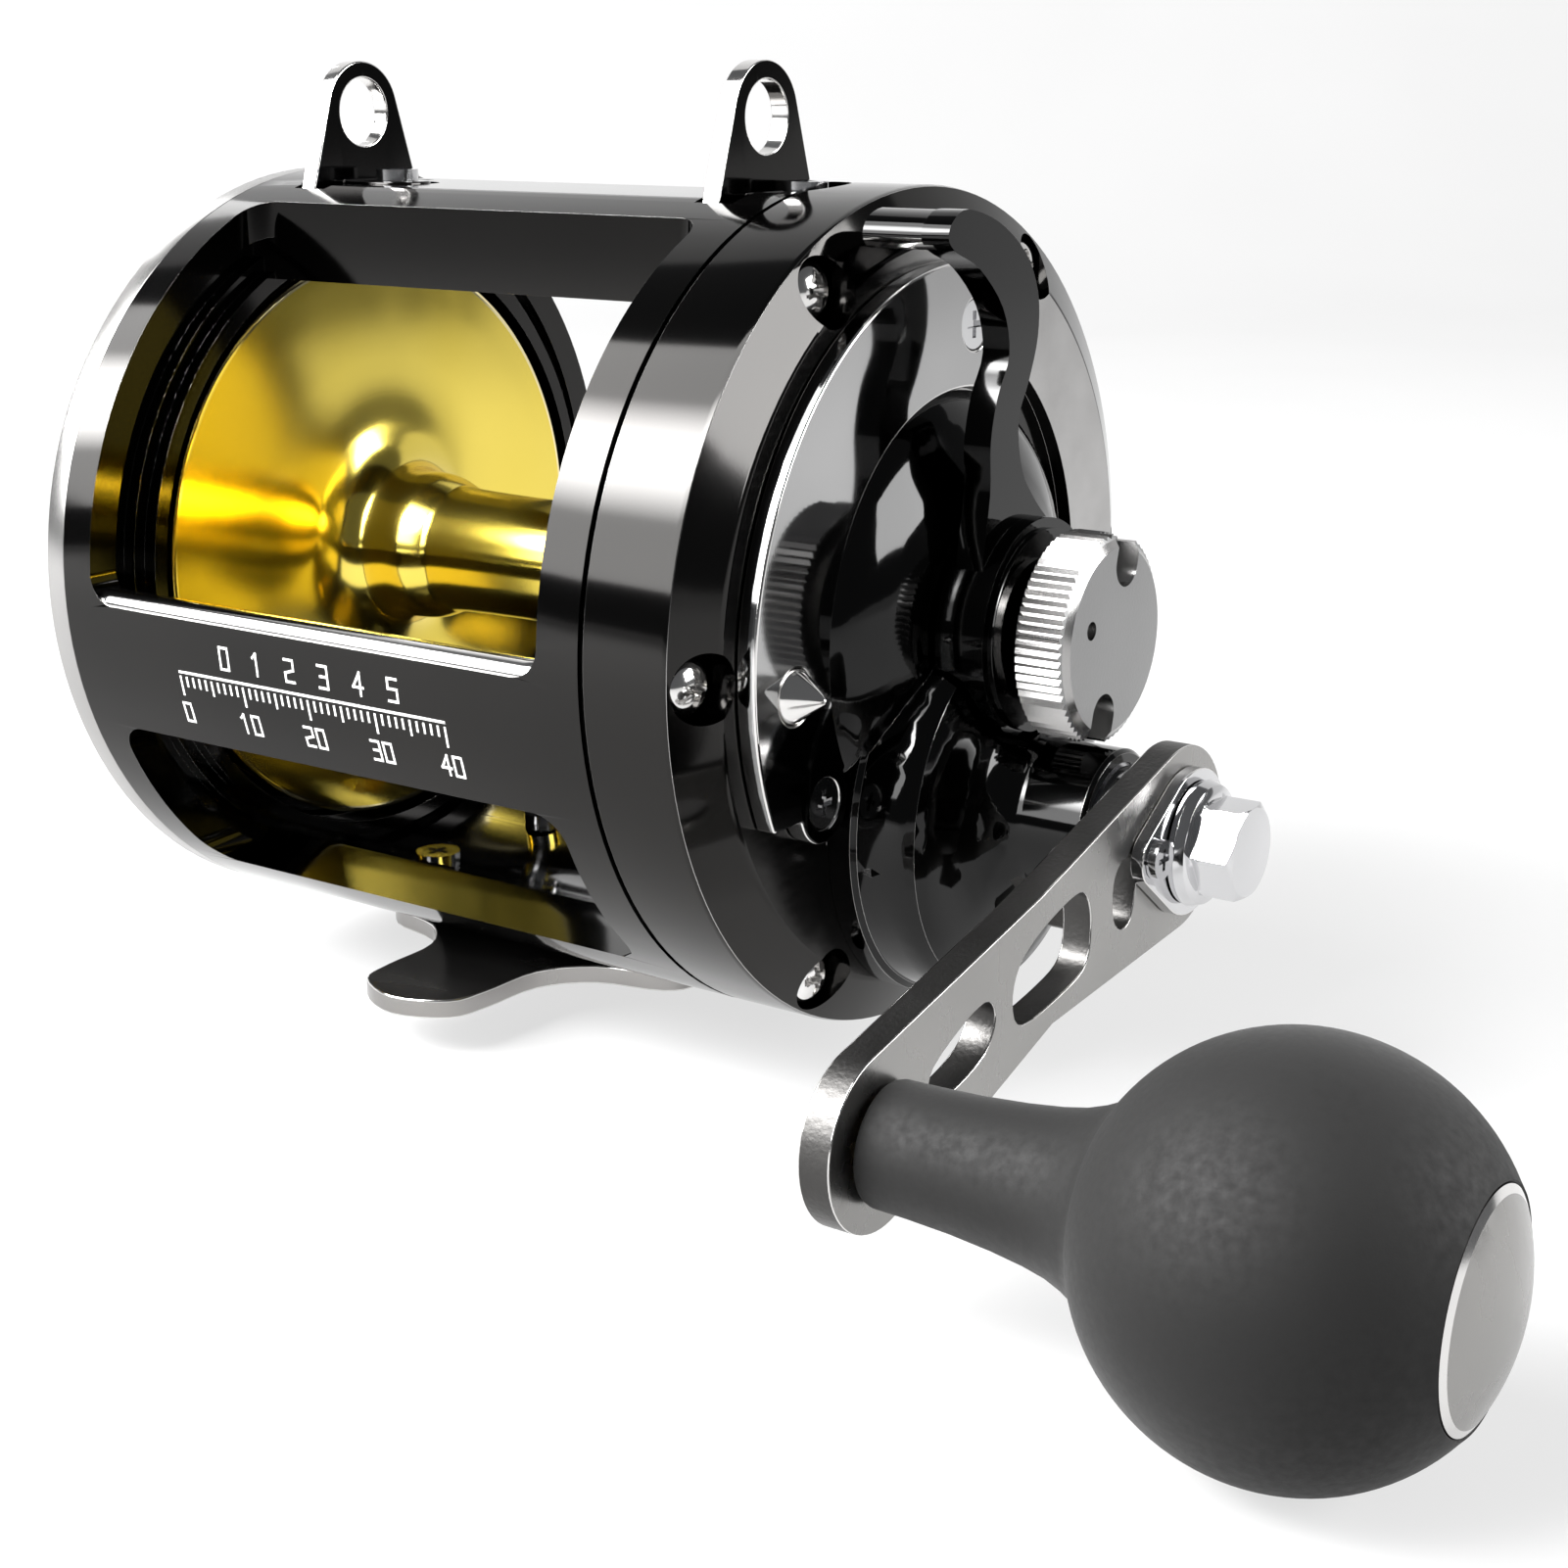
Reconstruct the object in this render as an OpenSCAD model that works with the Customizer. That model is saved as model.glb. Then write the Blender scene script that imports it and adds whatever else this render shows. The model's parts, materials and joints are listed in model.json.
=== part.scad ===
/* [Body] */
// Outside radius of the frame rings and of the handle side plate
body_r = 42; // [41.5:0.1:42.5]
// Length of the frame between its two side plates
frame_len = 69.3; // [68:0.1:70]
// Height of the spool axis above the underside of the reel foot
axis_h = 43; // [42.9:0.1:43.4]
// Width of the handle side plate, from its seam to its flat face
plate_w = 12.4; // [12.3:0.1:12.6]

/* [Spool] */
// Radius of the spool flanges
flange_r = 32.5; // [31.5:0.1:32.8]
// Radius of the spool arbor
arbor_r = 6.8; // [6.6:0.1:7.4]

/* [Gears] */
// Gear module
gear_module = 0.6; // [0.6]
// Teeth on the main gear
main_teeth = 49; // [49]
// Teeth on the pinion
pinion_teeth = 13; // [13]

/* [Handle] */
// Distance of the grip axis in front of the handle axis
arm_front = 53.1; // [50:0.5:58]
// Distance of the grip axis below the handle axis
arm_drop = 11.9; // [10:0.1:13]
// Thickness of the handle arm
arm_t = 3; // [2.6:0.1:3]
// Radius of the ball of the grip
ball_r = 16.9; // [15:0.1:18]
// Distance from the seam to the centre of the ball
ball_x = 75.6; // [74:0.1:78]

/* [Drag lever] */
// Thickness of the lever blade
lever_t = 2.9; // [2.6:0.1:3]
// Radius of the preset knob
knob_r = 10.2; // [9.5:0.1:10.4]

/* [Harness lugs] */
// Radius of the clip hole in each lug
lug_hole_r = 3.6; // [3.2:0.1:3.8]
// Distance between the two lugs
lug_gap = 54.3; // [52:0.1:55]

/* [Reel foot] */
// Length of the foot along the rod
foot_len = 64; // [60:1:68]
// Width of each foot tongue
foot_w = 13; // [12:0.5:14]
// Thickness of the foot
foot_t = 2.2; // [2.2]

/* [Hidden] */
$fn = 72;

black_metal = [0.08, 0.08, 0.09];
dark_chrome = [0.32, 0.31, 0.30];
bright_steel = [0.80, 0.80, 0.82];
satin_silver = [0.72, 0.71, 0.69];
gold = [0.86, 0.66, 0.16];
brass = [0.78, 0.60, 0.28];
steel = [0.62, 0.63, 0.65];
carbon = [0.15, 0.15, 0.16];
rubber = [0.16, 0.16, 0.15];

// Clearances
fit = 0.05;
gap = 0.15;

// Stations along the spool axis, measured from the seam of the handle side plate
win_l = -65.2;
win_r = -4.8;
ring_bore = 33.6;
register_r = 36;
register_d = 2;
rim_w = 3.6;
bar_r = 38.6;
top_bar_r = 34.5;
base_r = 36;
top_front_y = -15.5;
top_back_y = 8;
top_flat_z = 40.7;
bar_top_z = -0.8;
bar_low_z = -14.4;
base_top_z = -32.5;
rear_bar_top_z = -12;
rear_bar_low_z = -22;
foot_seat_z = -axis_h + foot_t;
window_r = 3.2;
cavity_r = 35;
plate_wall_x = 9.6;
seam_groove = 0.6;
bevel_x = 9.9;
bevel_r = 37.4;
screw_ring_r = 38.3;
pocket_r = 3.3;
pocket_x = 8.6;
cover_r = 35;
cover_t = 2.1;
stop_y = -28.6;
stop_z = -2.2;
groove_r = 27.7;
groove_x = 10.9;
dome_r = 22.5;
dome_top_x = 18.2;
post_r = 5;
post_end_x = 24.2;
shaft_r = 2;
shaft_big_r = 2.5;
handle_shaft_r = 3.5;
boss_r = 20;
boss_x = 21.6;
sleeve_r = 7.8;
sleeve_x = 33.2;
lever_x = 18.6;
blade_x = 19.3;
lever_hub_x = 24.3;
lever_hub_r = 11;
crank_drop = gear_module * (main_teeth + pinion_teeth) / 2;
arm_x = 36.9;
arm_face_x = arm_x + arm_t;
grip_y = -arm_front;
grip_z = -crank_drop - arm_drop;
lug_y = -3;
lug_t = 2;
lug_z = 48.2;
lug_left_x = -frame_len / 2 - lug_gap / 2;
lug_right_x = -frame_len / 2 + lug_gap / 2;
lug_foot_z = 39.4;

// ---- placing and shaping helpers ----

// Coordinates inside: x from the seam along the spool axis, y and z from the axis
module on_axis() {
    translate([frame_len / 2, 0, axis_h]) children();
}

// Solid of revolution about the x direction from [x, radius] points
module spin_x(points) {
    rotate([0, 90, 0])
        rotate_extrude()
            polygon([for (p = points) [p[1], p[0]]]);
}

// Cylinder along x
module rod_x(x0, x1, r, y = 0, z = 0) {
    translate([x0, y, z])
        rotate([0, 90, 0])
            cylinder(h = x1 - x0, r = r);
}

// Tube along x
module tube_x(x0, x1, r_in, r_out, y = 0, z = 0) {
    difference() {
        rod_x(x0, x1, r_out, y, z);
        rod_x(x0 - 1, x1 + 1, r_in, y, z);
    }
}

// Outline in the y, z plane, thick along x
module plate_x(x0, t) {
    translate([x0, 0, 0])
        rotate([90, 0, 90])
            linear_extrude(t) children();
}

// Outline in the x, z plane, running from y0 towards -y
module plate_y(y0, t) {
    translate([0, y0, 0])
        rotate([90, 0, 0])
            linear_extrude(t) children();
}

// Rectangle with round corners from corner a to corner b
module round_rect(a, b, r) {
    union() {
        translate([a[0] + r, a[1]]) square([b[0] - a[0] - 2 * r, b[1] - a[1]]);
        translate([a[0], a[1] + r]) square([b[0] - a[0], b[1] - a[1] - 2 * r]);
        for (x = [a[0] + r, b[0] - r])
            for (y = [a[1] + r, b[1] - r])
                translate([x, y]) circle(r);
    }
}

// Places children at n equal angles on a circle about the x direction
module around_x(n, r, start = 0) {
    for (i = [0 : n - 1])
        rotate([start + i * 360 / n, 0, 0])
            translate([0, -r, 0]) children();
}

// Round bar swept along a list of points, as one closed polyhedron
function unit(v) = v / norm(v);
function tangent(p, i) = unit(p[min(i + 1, len(p) - 1)] - p[max(i - 1, 0)]);
function side_of(t) = unit(cross(t, abs(t[2]) < 0.9 ? [0, 0, 1] : [0, 1, 0]));
module sweep_tube(path, r, sides = 8) {
    rings = [
        for (i = [0 : len(path) - 1])
            let (t = tangent(path, i), u = side_of(t), v = cross(t, u))
                for (k = [0 : sides - 1])
                    path[i] + r * cos(360 * k / sides) * u + r * sin(360 * k / sides) * v
    ];
    last = (len(path) - 1) * sides;
    walls = [
        for (i = [0 : len(path) - 2])
            for (k = [0 : sides - 1])
                [i * sides + k, i * sides + (k + 1) % sides,
                 (i + 1) * sides + (k + 1) % sides, (i + 1) * sides + k]
    ];
    ends = [
        [for (k = [sides - 1 : -1 : 0]) k],
        [for (k = [0 : sides - 1]) last + k]
    ];
    polyhedron(rings, concat(walls, ends));
}

// Coil spring along x
module coil_x(x0, x1, r, wire, turns, y = 0, z = 0) {
    steps = turns * 12;
    sweep_tube([
        for (i = [0 : steps])
            [x0 + (x1 - x0) * i / steps, y + r * cos(30 * i), z + r * sin(30 * i)]
    ], wire, 6);
}

// ---- gear teeth ----
pressure = 25;
tooth_addendum = 0.8;
tooth_dedendum = 1.1;
tooth_thinning = 0.05;
function roll(a) = tan(a) * 180 / PI - a;
function half_tooth(n, r) =
    let (rp = gear_module * n / 2, rb = rp * cos(pressure))
        90 / n - tooth_thinning / rp * 180 / PI + roll(pressure) - roll(acos(min(1, rb / r)));
module gear_outline(n, phase) {
    rp = gear_module * n / 2;
    tip = rp + tooth_addendum * gear_module;
    root = rp - tooth_dedendum * gear_module;
    base = max(root + 0.02, rp * cos(pressure));
    radii = [base, (base + tip) / 2, tip];
    polygon([
        for (i = [0 : n - 1])
            let (c = phase + 360 * i / n)
                each [
                    root * [cos(c - half_tooth(n, base)), sin(c - half_tooth(n, base))],
                    for (r = radii) r * [cos(c - half_tooth(n, r)), sin(c - half_tooth(n, r))],
                    for (k = [2 : -1 : 0])
                        radii[k] * [cos(c + half_tooth(n, radii[k])), sin(c + half_tooth(n, radii[k]))],
                    root * [cos(c + half_tooth(n, base)), sin(c + half_tooth(n, base))]
                ]
    ]);
}

// Saw-tooth outline for the ratchet wheel and the click gear
module saw_outline(n, r, depth, lean) {
    polygon([
        for (i = [0 : n - 1])
            let (a = 360 * i / n)
                each [
                    r * [cos(a), sin(a)],
                    (r - depth) * [cos(a + lean * 360 / n), sin(a + lean * 360 / n)]
                ]
    ]);
}

// ---- fasteners and bearings ----

// Cross-head screw along x: head from x0 to x0 + h, shank back to x_end
module screw_x(x0, h, head_r, shank_r, x_end, y = 0, z = 0) {
    difference() {
        union() {
            rod_x(x0, x0 + h, head_r, y, z);
            rod_x(x_end, x0 + 0.1, shank_r, y, z);
        }
        for (a = [0, 90])
            translate([x0 + h, y, z])
                rotate([a, 0, 0])
                    cube([h, head_r * 1.1, head_r * 0.28], center = true);
    }
}

// Screw along z, head up
module screw_z(p, head_r, h, shank_r, depth) {
    translate(p) {
        difference() {
            cylinder(h = h, r = head_r);
            for (a = [0, 90])
                rotate([0, 0, a])
                    translate([0, 0, h])
                        cube([head_r * 1.1, head_r * 0.28, h], center = true);
        }
        translate([0, 0, -depth]) cylinder(h = depth + 0.1, r = shank_r);
    }
}

// Ball bearing with shields: one closed ring with a groove in each face
module bearing_x(x0, x1, r_in, r_out, y = 0, z = 0) {
    mid = (r_in + r_out) / 2;
    groove = (r_out - r_in) * 0.22;
    difference() {
        tube_x(x0, x1, r_in, r_out, y, z);
        for (x = [x0 - 1, x1 - 0.3])
            tube_x(x, x + 1.3, mid - groove, mid + groove, y, z);
    }
}

// ---- frame and left side ----

// Window cut from the -y side, between heights z0 and z1
module front_window(z0, z1, y_back) {
    intersection() {
        plate_y(y_back, 60)
            round_rect([win_l, z0], [win_r, z1], window_r);
        translate([0, 0, -60])
            linear_extrude(120)
                round_rect([win_l, y_back - 60], [win_r, y_back], window_r);
    }
}

module rear_window(z0, z1, y_front) {
    mirror([0, 1, 0]) front_window(z0, z1, -y_front);
}

module frame_bars() {
    difference() {
        union() {
            tube_x(-frame_len, 0, bar_r, body_r);
            intersection() {
                tube_x(-frame_len, 0, top_bar_r, body_r);
                translate([-frame_len, top_front_y, 20])
                    cube([frame_len, top_back_y - top_front_y, 40]);
            }
            intersection() {
                tube_x(-frame_len, 0, base_r, body_r);
                translate([-frame_len, -50, -60])
                    cube([frame_len, 100, 60 + base_top_z]);
            }
        }
        front_window(bar_top_z, 60, top_front_y);
        front_window(base_top_z, bar_low_z, -10);
        rear_window(rear_bar_top_z, 60, top_back_y);
        rear_window(base_top_z, rear_bar_low_z, 10);
        translate([win_l + 1.5, -25, top_flat_z]) cube([win_r - win_l - 3, 50, 10]);
        translate([win_l, -30, foot_seat_z - 10]) cube([win_r - win_l, 60, 10]);
    }
}

module lug_pocket(x) {
    translate([x + 5, lug_y, lug_foot_z]) cylinder(h = 10, r = 5);
    translate([x - 1.5, lug_y - 8.8, lug_foot_z]) cube([4.6, 17.6, 10]);
}

module foot_screw_places() {
    for (x = [-13.5, 13.5])
        for (y = [-9.5, 9.5])
            translate([-frame_len / 2 + x, y, 0]) children();
}

module frame() {
    color(black_metal)
        on_axis()
            difference() {
                union() {
                    frame_bars();
                    tube_x(-frame_len, -66.2, ring_bore, body_r);
                    tube_x(-66.3, -64.6, ring_bore, 36.6);
                    tube_x(-64.7, -63, ring_bore, 35.2);
                    tube_x(win_r, 0, ring_bore, body_r);
                    tube_x(win_r - 1.6, win_r + 0.1, ring_bore, 35.6);
                }
                rod_x(-register_d, 1, register_r);
                rod_x(-frame_len - 1, -frame_len + register_d, register_r);
                around_x(6, screw_ring_r) rod_x(-4.5, 1, 1.5);
                around_x(6, screw_ring_r) rod_x(-frame_len - 1, -frame_len + 3, 1.5);
                lug_pocket(lug_left_x);
                lug_pocket(lug_right_x);
                for (x = [lug_left_x, lug_right_x])
                    translate([x + 5.6, lug_y, 36.1]) cylinder(h = 10, r = 1.3);
                foot_screw_places() {
                    translate([0, 0, -34.9]) cylinder(h = 10, r = 2.9);
                    translate([0, 0, -50]) cylinder(h = 20, r = 1.6);
                }
            }
}

module left_side_plate() {
    x0 = -frame_len;
    color(black_metal)
        on_axis()
            difference() {
                union() {
                    spin_x([
                        [x0, 0], [x0, body_r], [x0 - 2.4, body_r], [x0 - 3.2, body_r - 0.5],
                        [x0 - rim_w, body_r - 1.4], [x0 - rim_w, body_r - 3.6],
                        [x0 - 2.9, body_r - 4.2], [x0 - 2.9, 17.4], [x0 - 4.2, 14.6], [x0 - 4.2, 0]
                    ]);
                    tube_x(x0 - 0.1, x0 + register_d - 0.2, register_r - 1.8, register_r - gap);
                    rod_x(x0 - 1, x0 + 0.6, 9.3);
                }
                spin_x([[x0 - 1.6, 9.3], [x0 - 1.6, 31], [x0 + 1, 31], [x0 + 1, 9.3]]);
                rod_x(x0 - 10, x0 + 1, 6.5);
                around_x(6, screw_ring_r) rod_x(x0 - 6, x0 + 1, 1.6);
                around_x(6, screw_ring_r) rod_x(x0 - 6, x0 - 1.9, 2.8);
                plate_x(x0 - 6, 10) round_rect([-2.6, -30.6], [2.6, -18.9], 2.5);
            }
}

module left_plate_screws() {
    color(bright_steel)
        on_axis()
            mirror([1, 0, 0])
                around_x(6, screw_ring_r)
                    screw_x(frame_len + 1.95, 1.5, 2.5, 1.45, frame_len - 2.8);
}

module left_bearing_cap() {
    x0 = -frame_len - 4.2;
    color(bright_steel)
        on_axis()
            difference() {
                spin_x([
                    [x0 - 1.4, 0], [x0 - 1.4, 6.6], [x0 - 0.8, 7.6],
                    [x0 - fit, 7.6], [x0 - fit, 6.4], [x0 + 0.5, 6.4], [x0 + 0.5, 0]
                ]);
                rod_x(x0, x0 + 3, 4.4);
                plate_x(x0 - 2, 1.2) square([8, 1.4], center = true);
            }
}

module shaft_bearing_left() {
    color(steel)
        on_axis() bearing_x(-frame_len - 3.6, -frame_len + 0.4, shaft_big_r + fit, 6.45);
}

// Click mechanism
click_x = -frame_len + 1.9;
click_gear_r = 13;
pawl_z = -24.5;

module clicker_button() {
    x0 = -frame_len;
    color(bright_steel)
        on_axis()
            difference() {
                union() {
                    plate_x(x0 - 4.6, 1.6) round_rect([-3.8, -29.7], [3.8, -19.3], 3.4);
                    plate_x(x0 - 3.1, 5.2) round_rect([-2.45, -28.2], [2.45, -21.4], 2.3);
                }
                for (z = [-27.5 : 1.5 : -21.5])
                    translate([x0 - 4.6, -3, z]) cube([0.8, 6, 0.7], center = false);
            }
}

module clicker_pawl() {
    color(steel)
        on_axis()
            plate_x(click_x + 0.3, 1.3)
                union() {
                    translate([0, pawl_z]) circle(3.4);
                    polygon([[-2.4, pawl_z], [2.4, pawl_z], [0.5, -15.6], [-0.5, -15.6]]);
                }
}

module clicker_spring() {
    color(steel)
        on_axis()
            union() {
                plate_x(click_x + 0.3, 1.2)
                    difference() {
                        translate([0, pawl_z - 0.3]) circle(6.4);
                        translate([0, pawl_z - 0.3]) circle(5.4);
                        translate([-4.6, pawl_z + 1]) square([9.2, 8]);
                    }
                for (y = [-5.6, 5.6])
                    rod_x(-frame_len - 1.5, click_x + 1.5, 0.9, y, pawl_z + 0.6);
            }
}

module click_gear() {
    color(brass)
        on_axis()
            difference() {
                plate_x(click_x + 0.3, 1.4) saw_outline(36, click_gear_r, 1, 0.5);
                rod_x(-80, -50, 7.05);
                around_x(3, 9.4) rod_x(-80, -50, 1.2);
            }
}

// ---- spool and drag ----
spool_l = -frame_len + 4.6;
flange_l = -frame_len + 7;
flange_x = -6.2;

module spool() {
    color(gold)
        on_axis()
            difference() {
                spin_x([
                    [-67.2, 0], [-67.2, 7], [spool_l - 0.9, 7], [spool_l - 0.9, 9.8], [spool_l, 10.6],
                    [spool_l, flange_r], [spool_l + 1.3, flange_r], [spool_l + 1.9, 26],
                    [flange_l, 14], [flange_l + 1.2, 10.6], [flange_l + 2.6, 9],
                    [flange_l + 4.4, 8.4], [flange_l + 8, 8.4],
                    [flange_l + 10.2, 7.6], [flange_l + 12, arbor_r], [-16, arbor_r],
                    [-12, 7.8], [-9.4, 8.6], [-8.2, 11], [-7.6, 16], [flange_x, 26],
                    [flange_x + 0.4, flange_r], [-4.5, flange_r], [-4.5, 0]
                ]);
                rod_x(-80, 10, shaft_big_r + 0.5);
                rod_x(-80, -62.6, 5.5);
                rod_x(-9.2, 10, 5.5);
                rod_x(-5.3, 10, 29);
                around_x(6, 21) rod_x(spool_l - 1, spool_l + 0.8, 3.2);
            }
}

module spool_bearing_left() {
    color(steel) on_axis() bearing_x(-66.9, -62.9, shaft_big_r + 0.02, 5.45);
}

module spool_bearing_right() {
    color(steel) on_axis() bearing_x(-9, -5.4, shaft_big_r + 0.02, 5.45);
}

module drag_washer() {
    color(carbon) on_axis() tube_x(-5.25, -3.65, 13, 28.6);
}

module drag_shaft() {
    color(bright_steel)
        on_axis()
            spin_x([
                [-72.4, 0], [-72.4, 2.2], [-72.1, shaft_big_r], [-3.9, shaft_big_r],
                [-3.9, shaft_r], [29.8, shaft_r], [30.2, 1.6], [30.2, 0]
            ]);
}

module drive_plate() {
    color(steel)
        on_axis()
            difference() {
                union() {
                    tube_x(-3.3, -1.7, 3.4 + fit, 29);
                    tube_x(-3.3, 1.4, 3.4 + fit, 7);
                }
                around_x(6, 18) rod_x(-5, 5, 3);
            }
}

module pinion_gear() {
    color(brass)
        on_axis()
            difference() {
                union() {
                    rod_x(-3.2, 1.6, 3.4);
                    rod_x(1.5, 12.8, 3);
                    plate_x(12.7, 4.2) gear_outline(pinion_teeth, -90 + 180 / pinion_teeth);
                }
                rod_x(-10, 30, shaft_r + fit);
            }
}

module pinion_bearing() {
    color(steel) on_axis() bearing_x(8.4, 12, 3 + 0.02, 6.45);
}

// ---- handle side plate ----
module handle_side_plate() {
    color(black_metal)
        on_axis()
            difference() {
                union() {
                    spin_x([
                        [0, 0], [0, body_r - seam_groove], [seam_groove, body_r - seam_groove],
                        [seam_groove, body_r], [bevel_x - 0.5, body_r], [bevel_x, body_r - 0.15],
                        [plate_w - 0.3, bevel_r], [plate_w, bevel_r - 0.6], [plate_w, 0]
                    ]);
                    tube_x(-register_d + 0.2, 0.1, register_r - 1.8, register_r - gap);
                }
                difference() {
                    rod_x(-5, plate_wall_x, cavity_r - 0.8);
                    rod_x(6.4, 20, 8.8);
                    rod_x(6.4, 20, 9.2, 0, -crank_drop);
                    rod_x(1.8, 20, 3.9, stop_y, stop_z);
                }
                difference() {
                    tube_x(groove_x, 20, dome_r + 0.2, groove_r);
                    rod_x(5, 25, boss_r + 0.2, 0, -crank_drop);
                }
                rod_x(-5, 20, 4.4);
                rod_x(8.3, 20, 6.5);
                rod_x(-5, 20, handle_shaft_r + 1, 0, -crank_drop);
                rod_x(8.3, 20, 7, 0, -crank_drop);
                around_x(6, screw_ring_r) rod_x(-5, 20, 1.6);
                around_x(6, screw_ring_r) rod_x(pocket_x, 20, pocket_r);
                lug_pocket(lug_right_x);
                rod_x(2.6, 20, 2.6 + fit, stop_y, stop_z);
                for (p = cover_screw_places)
                    rod_x(8, 20, 1.25, p[0], p[1]);
                for (p = housing_screw_places)
                    rod_x(0, 20, 1.3, p[0], p[1]);
                for (p = dog_places)
                    rod_x(8.9, 11, 1.2, p[0], p[1] - crank_drop);
            }
}

module side_plate_screws() {
    color(bright_steel)
        on_axis()
            around_x(6, screw_ring_r) screw_x(pocket_x + 0.05, 1.9, 2.6, 1.45, -4);
}

// Raised cover of the lever quadrant, on the angler's side
cover_screw_places = [[-23.6, -13.6], [2.4, 28.8]];
module quadrant_cover() {
    color(dark_chrome)
        on_axis()
            difference() {
                plate_x(plate_w + 0.05, cover_t)
                    difference() {
                        union() {
                            intersection() {
                                circle(cover_r);
                                polygon([[-60, -14.5], [-27, -14.5], [0, 0], [9, 40], [-60, 40]]);
                            }
                            translate(cover_screw_places[0]) circle(3.9);
                        }
                        circle(dome_r + 0.35);
                        translate([0, -crank_drop]) circle(boss_r + 0.35);
                    }
                rod_x(8, 20, 2.6 + fit, stop_y, stop_z);
                for (p = cover_screw_places) {
                    rod_x(8, 20, 1.25, p[0], p[1]);
                    rod_x(plate_w + 1, 20, 2.5, p[0], p[1]);
                }
            }
}

module cover_screws() {
    color(bright_steel)
        on_axis()
            for (p = cover_screw_places)
                screw_x(plate_w + 1.05, 0.9, 2.4, 1.2, 9, p[0], p[1]);
}

module strike_stop() {
    color(bright_steel)
        on_axis()
            translate([0, stop_y, stop_z])
                spin_x([
                    [5, 0], [5, 1.2], [8.6, 1.2], [8.6, 2.6], [14.4, 2.6],
                    [15, 2.3], [17.8, 0.35], [17.9, 0]
                ]);
}

module strike_stop_spring() {
    color(steel) on_axis() coil_x(2.95, 8.3, 1.9, 0.25, 5, stop_y, stop_z);
}

// Lever dome, gear boss and handle sleeve, cast as one cover
housing_screw_places = [[-17.9, -21], [17.9, -21], [0, 11.6]];
module drive_housing() {
    color(black_metal)
        on_axis()
            difference() {
                union() {
                    spin_x([
                        [plate_w + fit, 0], [plate_w + fit, dome_r],
                        [plate_w + 0.8, dome_r], [14.4, 21.4], [15.6, 19.6],
                        [16.8, 17], [17.7, 14.2], [dome_top_x, 12.4], [dome_top_x, post_r],
                        [post_end_x, post_r], [post_end_x, 0]
                    ]);
                    translate([0, 0, -crank_drop])
                        spin_x([
                            [plate_w + fit, 0], [plate_w + fit, boss_r], [14.9, boss_r], [15.3, boss_r - 0.6],
                            [boss_x - 2, boss_r - 0.9], [boss_x - 0.6, boss_r - 1.8],
                            [boss_x, boss_r - 3.4], [boss_x + 0.7, 12.4], [boss_x + 1.8, 9.8],
                            [boss_x + 3.4, sleeve_r + 0.5], [boss_x + 5, sleeve_r],
                            [sleeve_x - 0.4, sleeve_r], [sleeve_x, sleeve_r - 0.4], [sleeve_x, 0]
                        ]);
                    intersection() {
                        translate([16, -5.5, -crank_drop - 10.6]) cube([16.2, 11, 10]);
                        rod_x(15, 33, 10.8, 0, -crank_drop);
                    }
                }
                translate([0, 0, -crank_drop])
                    spin_x([
                        [5, 0], [5, 16.2], [17.3, 16.2], [17.3, 5], [28.4, 5],
                        [28.4, 6.5], [40, 6.5], [40, 0]
                    ]);
                rod_x(5, 17.2, 6);
                rod_x(5, 40, shaft_r + 0.1);
                for (p = housing_screw_places)
                    rod_x(0, 17, 1.3, p[0], p[1]);
                tube_x(lever_x - 0.35, post_end_x + 0.6, post_r, lever_hub_r + 0.6);
            }
}

module housing_screws() {
    color(steel)
        on_axis()
            for (p = housing_screw_places)
                mirror([1, 0, 0])
                    screw_x(-plate_wall_x + fit, 1.3, 2.2, 1.25, -16.8, p[0], p[1]);
}

// ---- drag lever and knob ----

// Closed smooth outline through points
function spline_at(p, i, t) =
    let (n = len(p), a = p[(i + n - 1) % n], b = p[i], c = p[(i + 1) % n], d = p[(i + 2) % n])
        0.5 * (2 * b + (c - a) * t + (2 * a - 5 * b + 4 * c - d) * t * t
            + (3 * b - a - 3 * c + d) * t * t * t);
module smooth_outline(p, steps = 4) {
    polygon([
        for (i = [0 : len(p) - 1])
            for (k = [0 : steps - 1])
                spline_at(p, i, k / steps)
    ]);
}

lever_outline = [
    [9, 3], [5.4, 8.8], [1.4, 12.4], [-1.4, 15.8], [-2.3, 20.6], [-0.5, 24.2], [1, 28.2], [0.8, 32.4],
    [-1.8, 36.2], [-6.8, 39.2], [-12.4, 40.6], [-15, 39.7], [-15.8, 38.2], [-14.4, 36.9], [-10.2, 35.2],
    [-5.8, 31.4], [-4.4, 27], [-6.4, 23.2], [-7.5, 19], [-7.4, 14], [-8.6, 6], [-7, -2], [4, -4]
];
lever_tab_outline = [
    [-15.7, 38.1], [-14.9, 39.7], [-12.4, 40.5], [-9.4, 39.9], [-6, 38.5], [-6.4, 36.8], [-9.6, 38],
    [-12.5, 38.4], [-14.4, 37]
];

module drag_lever() {
    color(black_metal)
        on_axis()
            difference() {
                union() {
                    plate_x(blade_x, lever_t) smooth_outline(lever_outline);
                    rod_x(lever_x, lever_hub_x - 0.5, lever_hub_r);
                    rod_x(lever_x, lever_hub_x, lever_hub_r - 1);
                    plate_x(13, blade_x - 12) smooth_outline(lever_tab_outline);
                }
                rod_x(0, 40, post_r + fit);
            }
}

module thrust_ring() {
    color(bright_steel)
        on_axis()
            difference() {
                spin_x([[24.8, 0], [24.8, 6.4], [25.1, 7], [25.9, 7], [26.2, 6.6], [26.2, 0]]);
                rod_x(20, 30, shaft_r + 0.02);
            }
}

module belleville_washers() {
    color(steel)
        on_axis()
            for (i = [0 : 2])
                translate([26.35 + i * 0.85, 0, 0])
                    spin_x([[0, 2.3], [0.35, 2.3], [0.65, 5.2], [0.3, 5.2]]);
}

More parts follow.
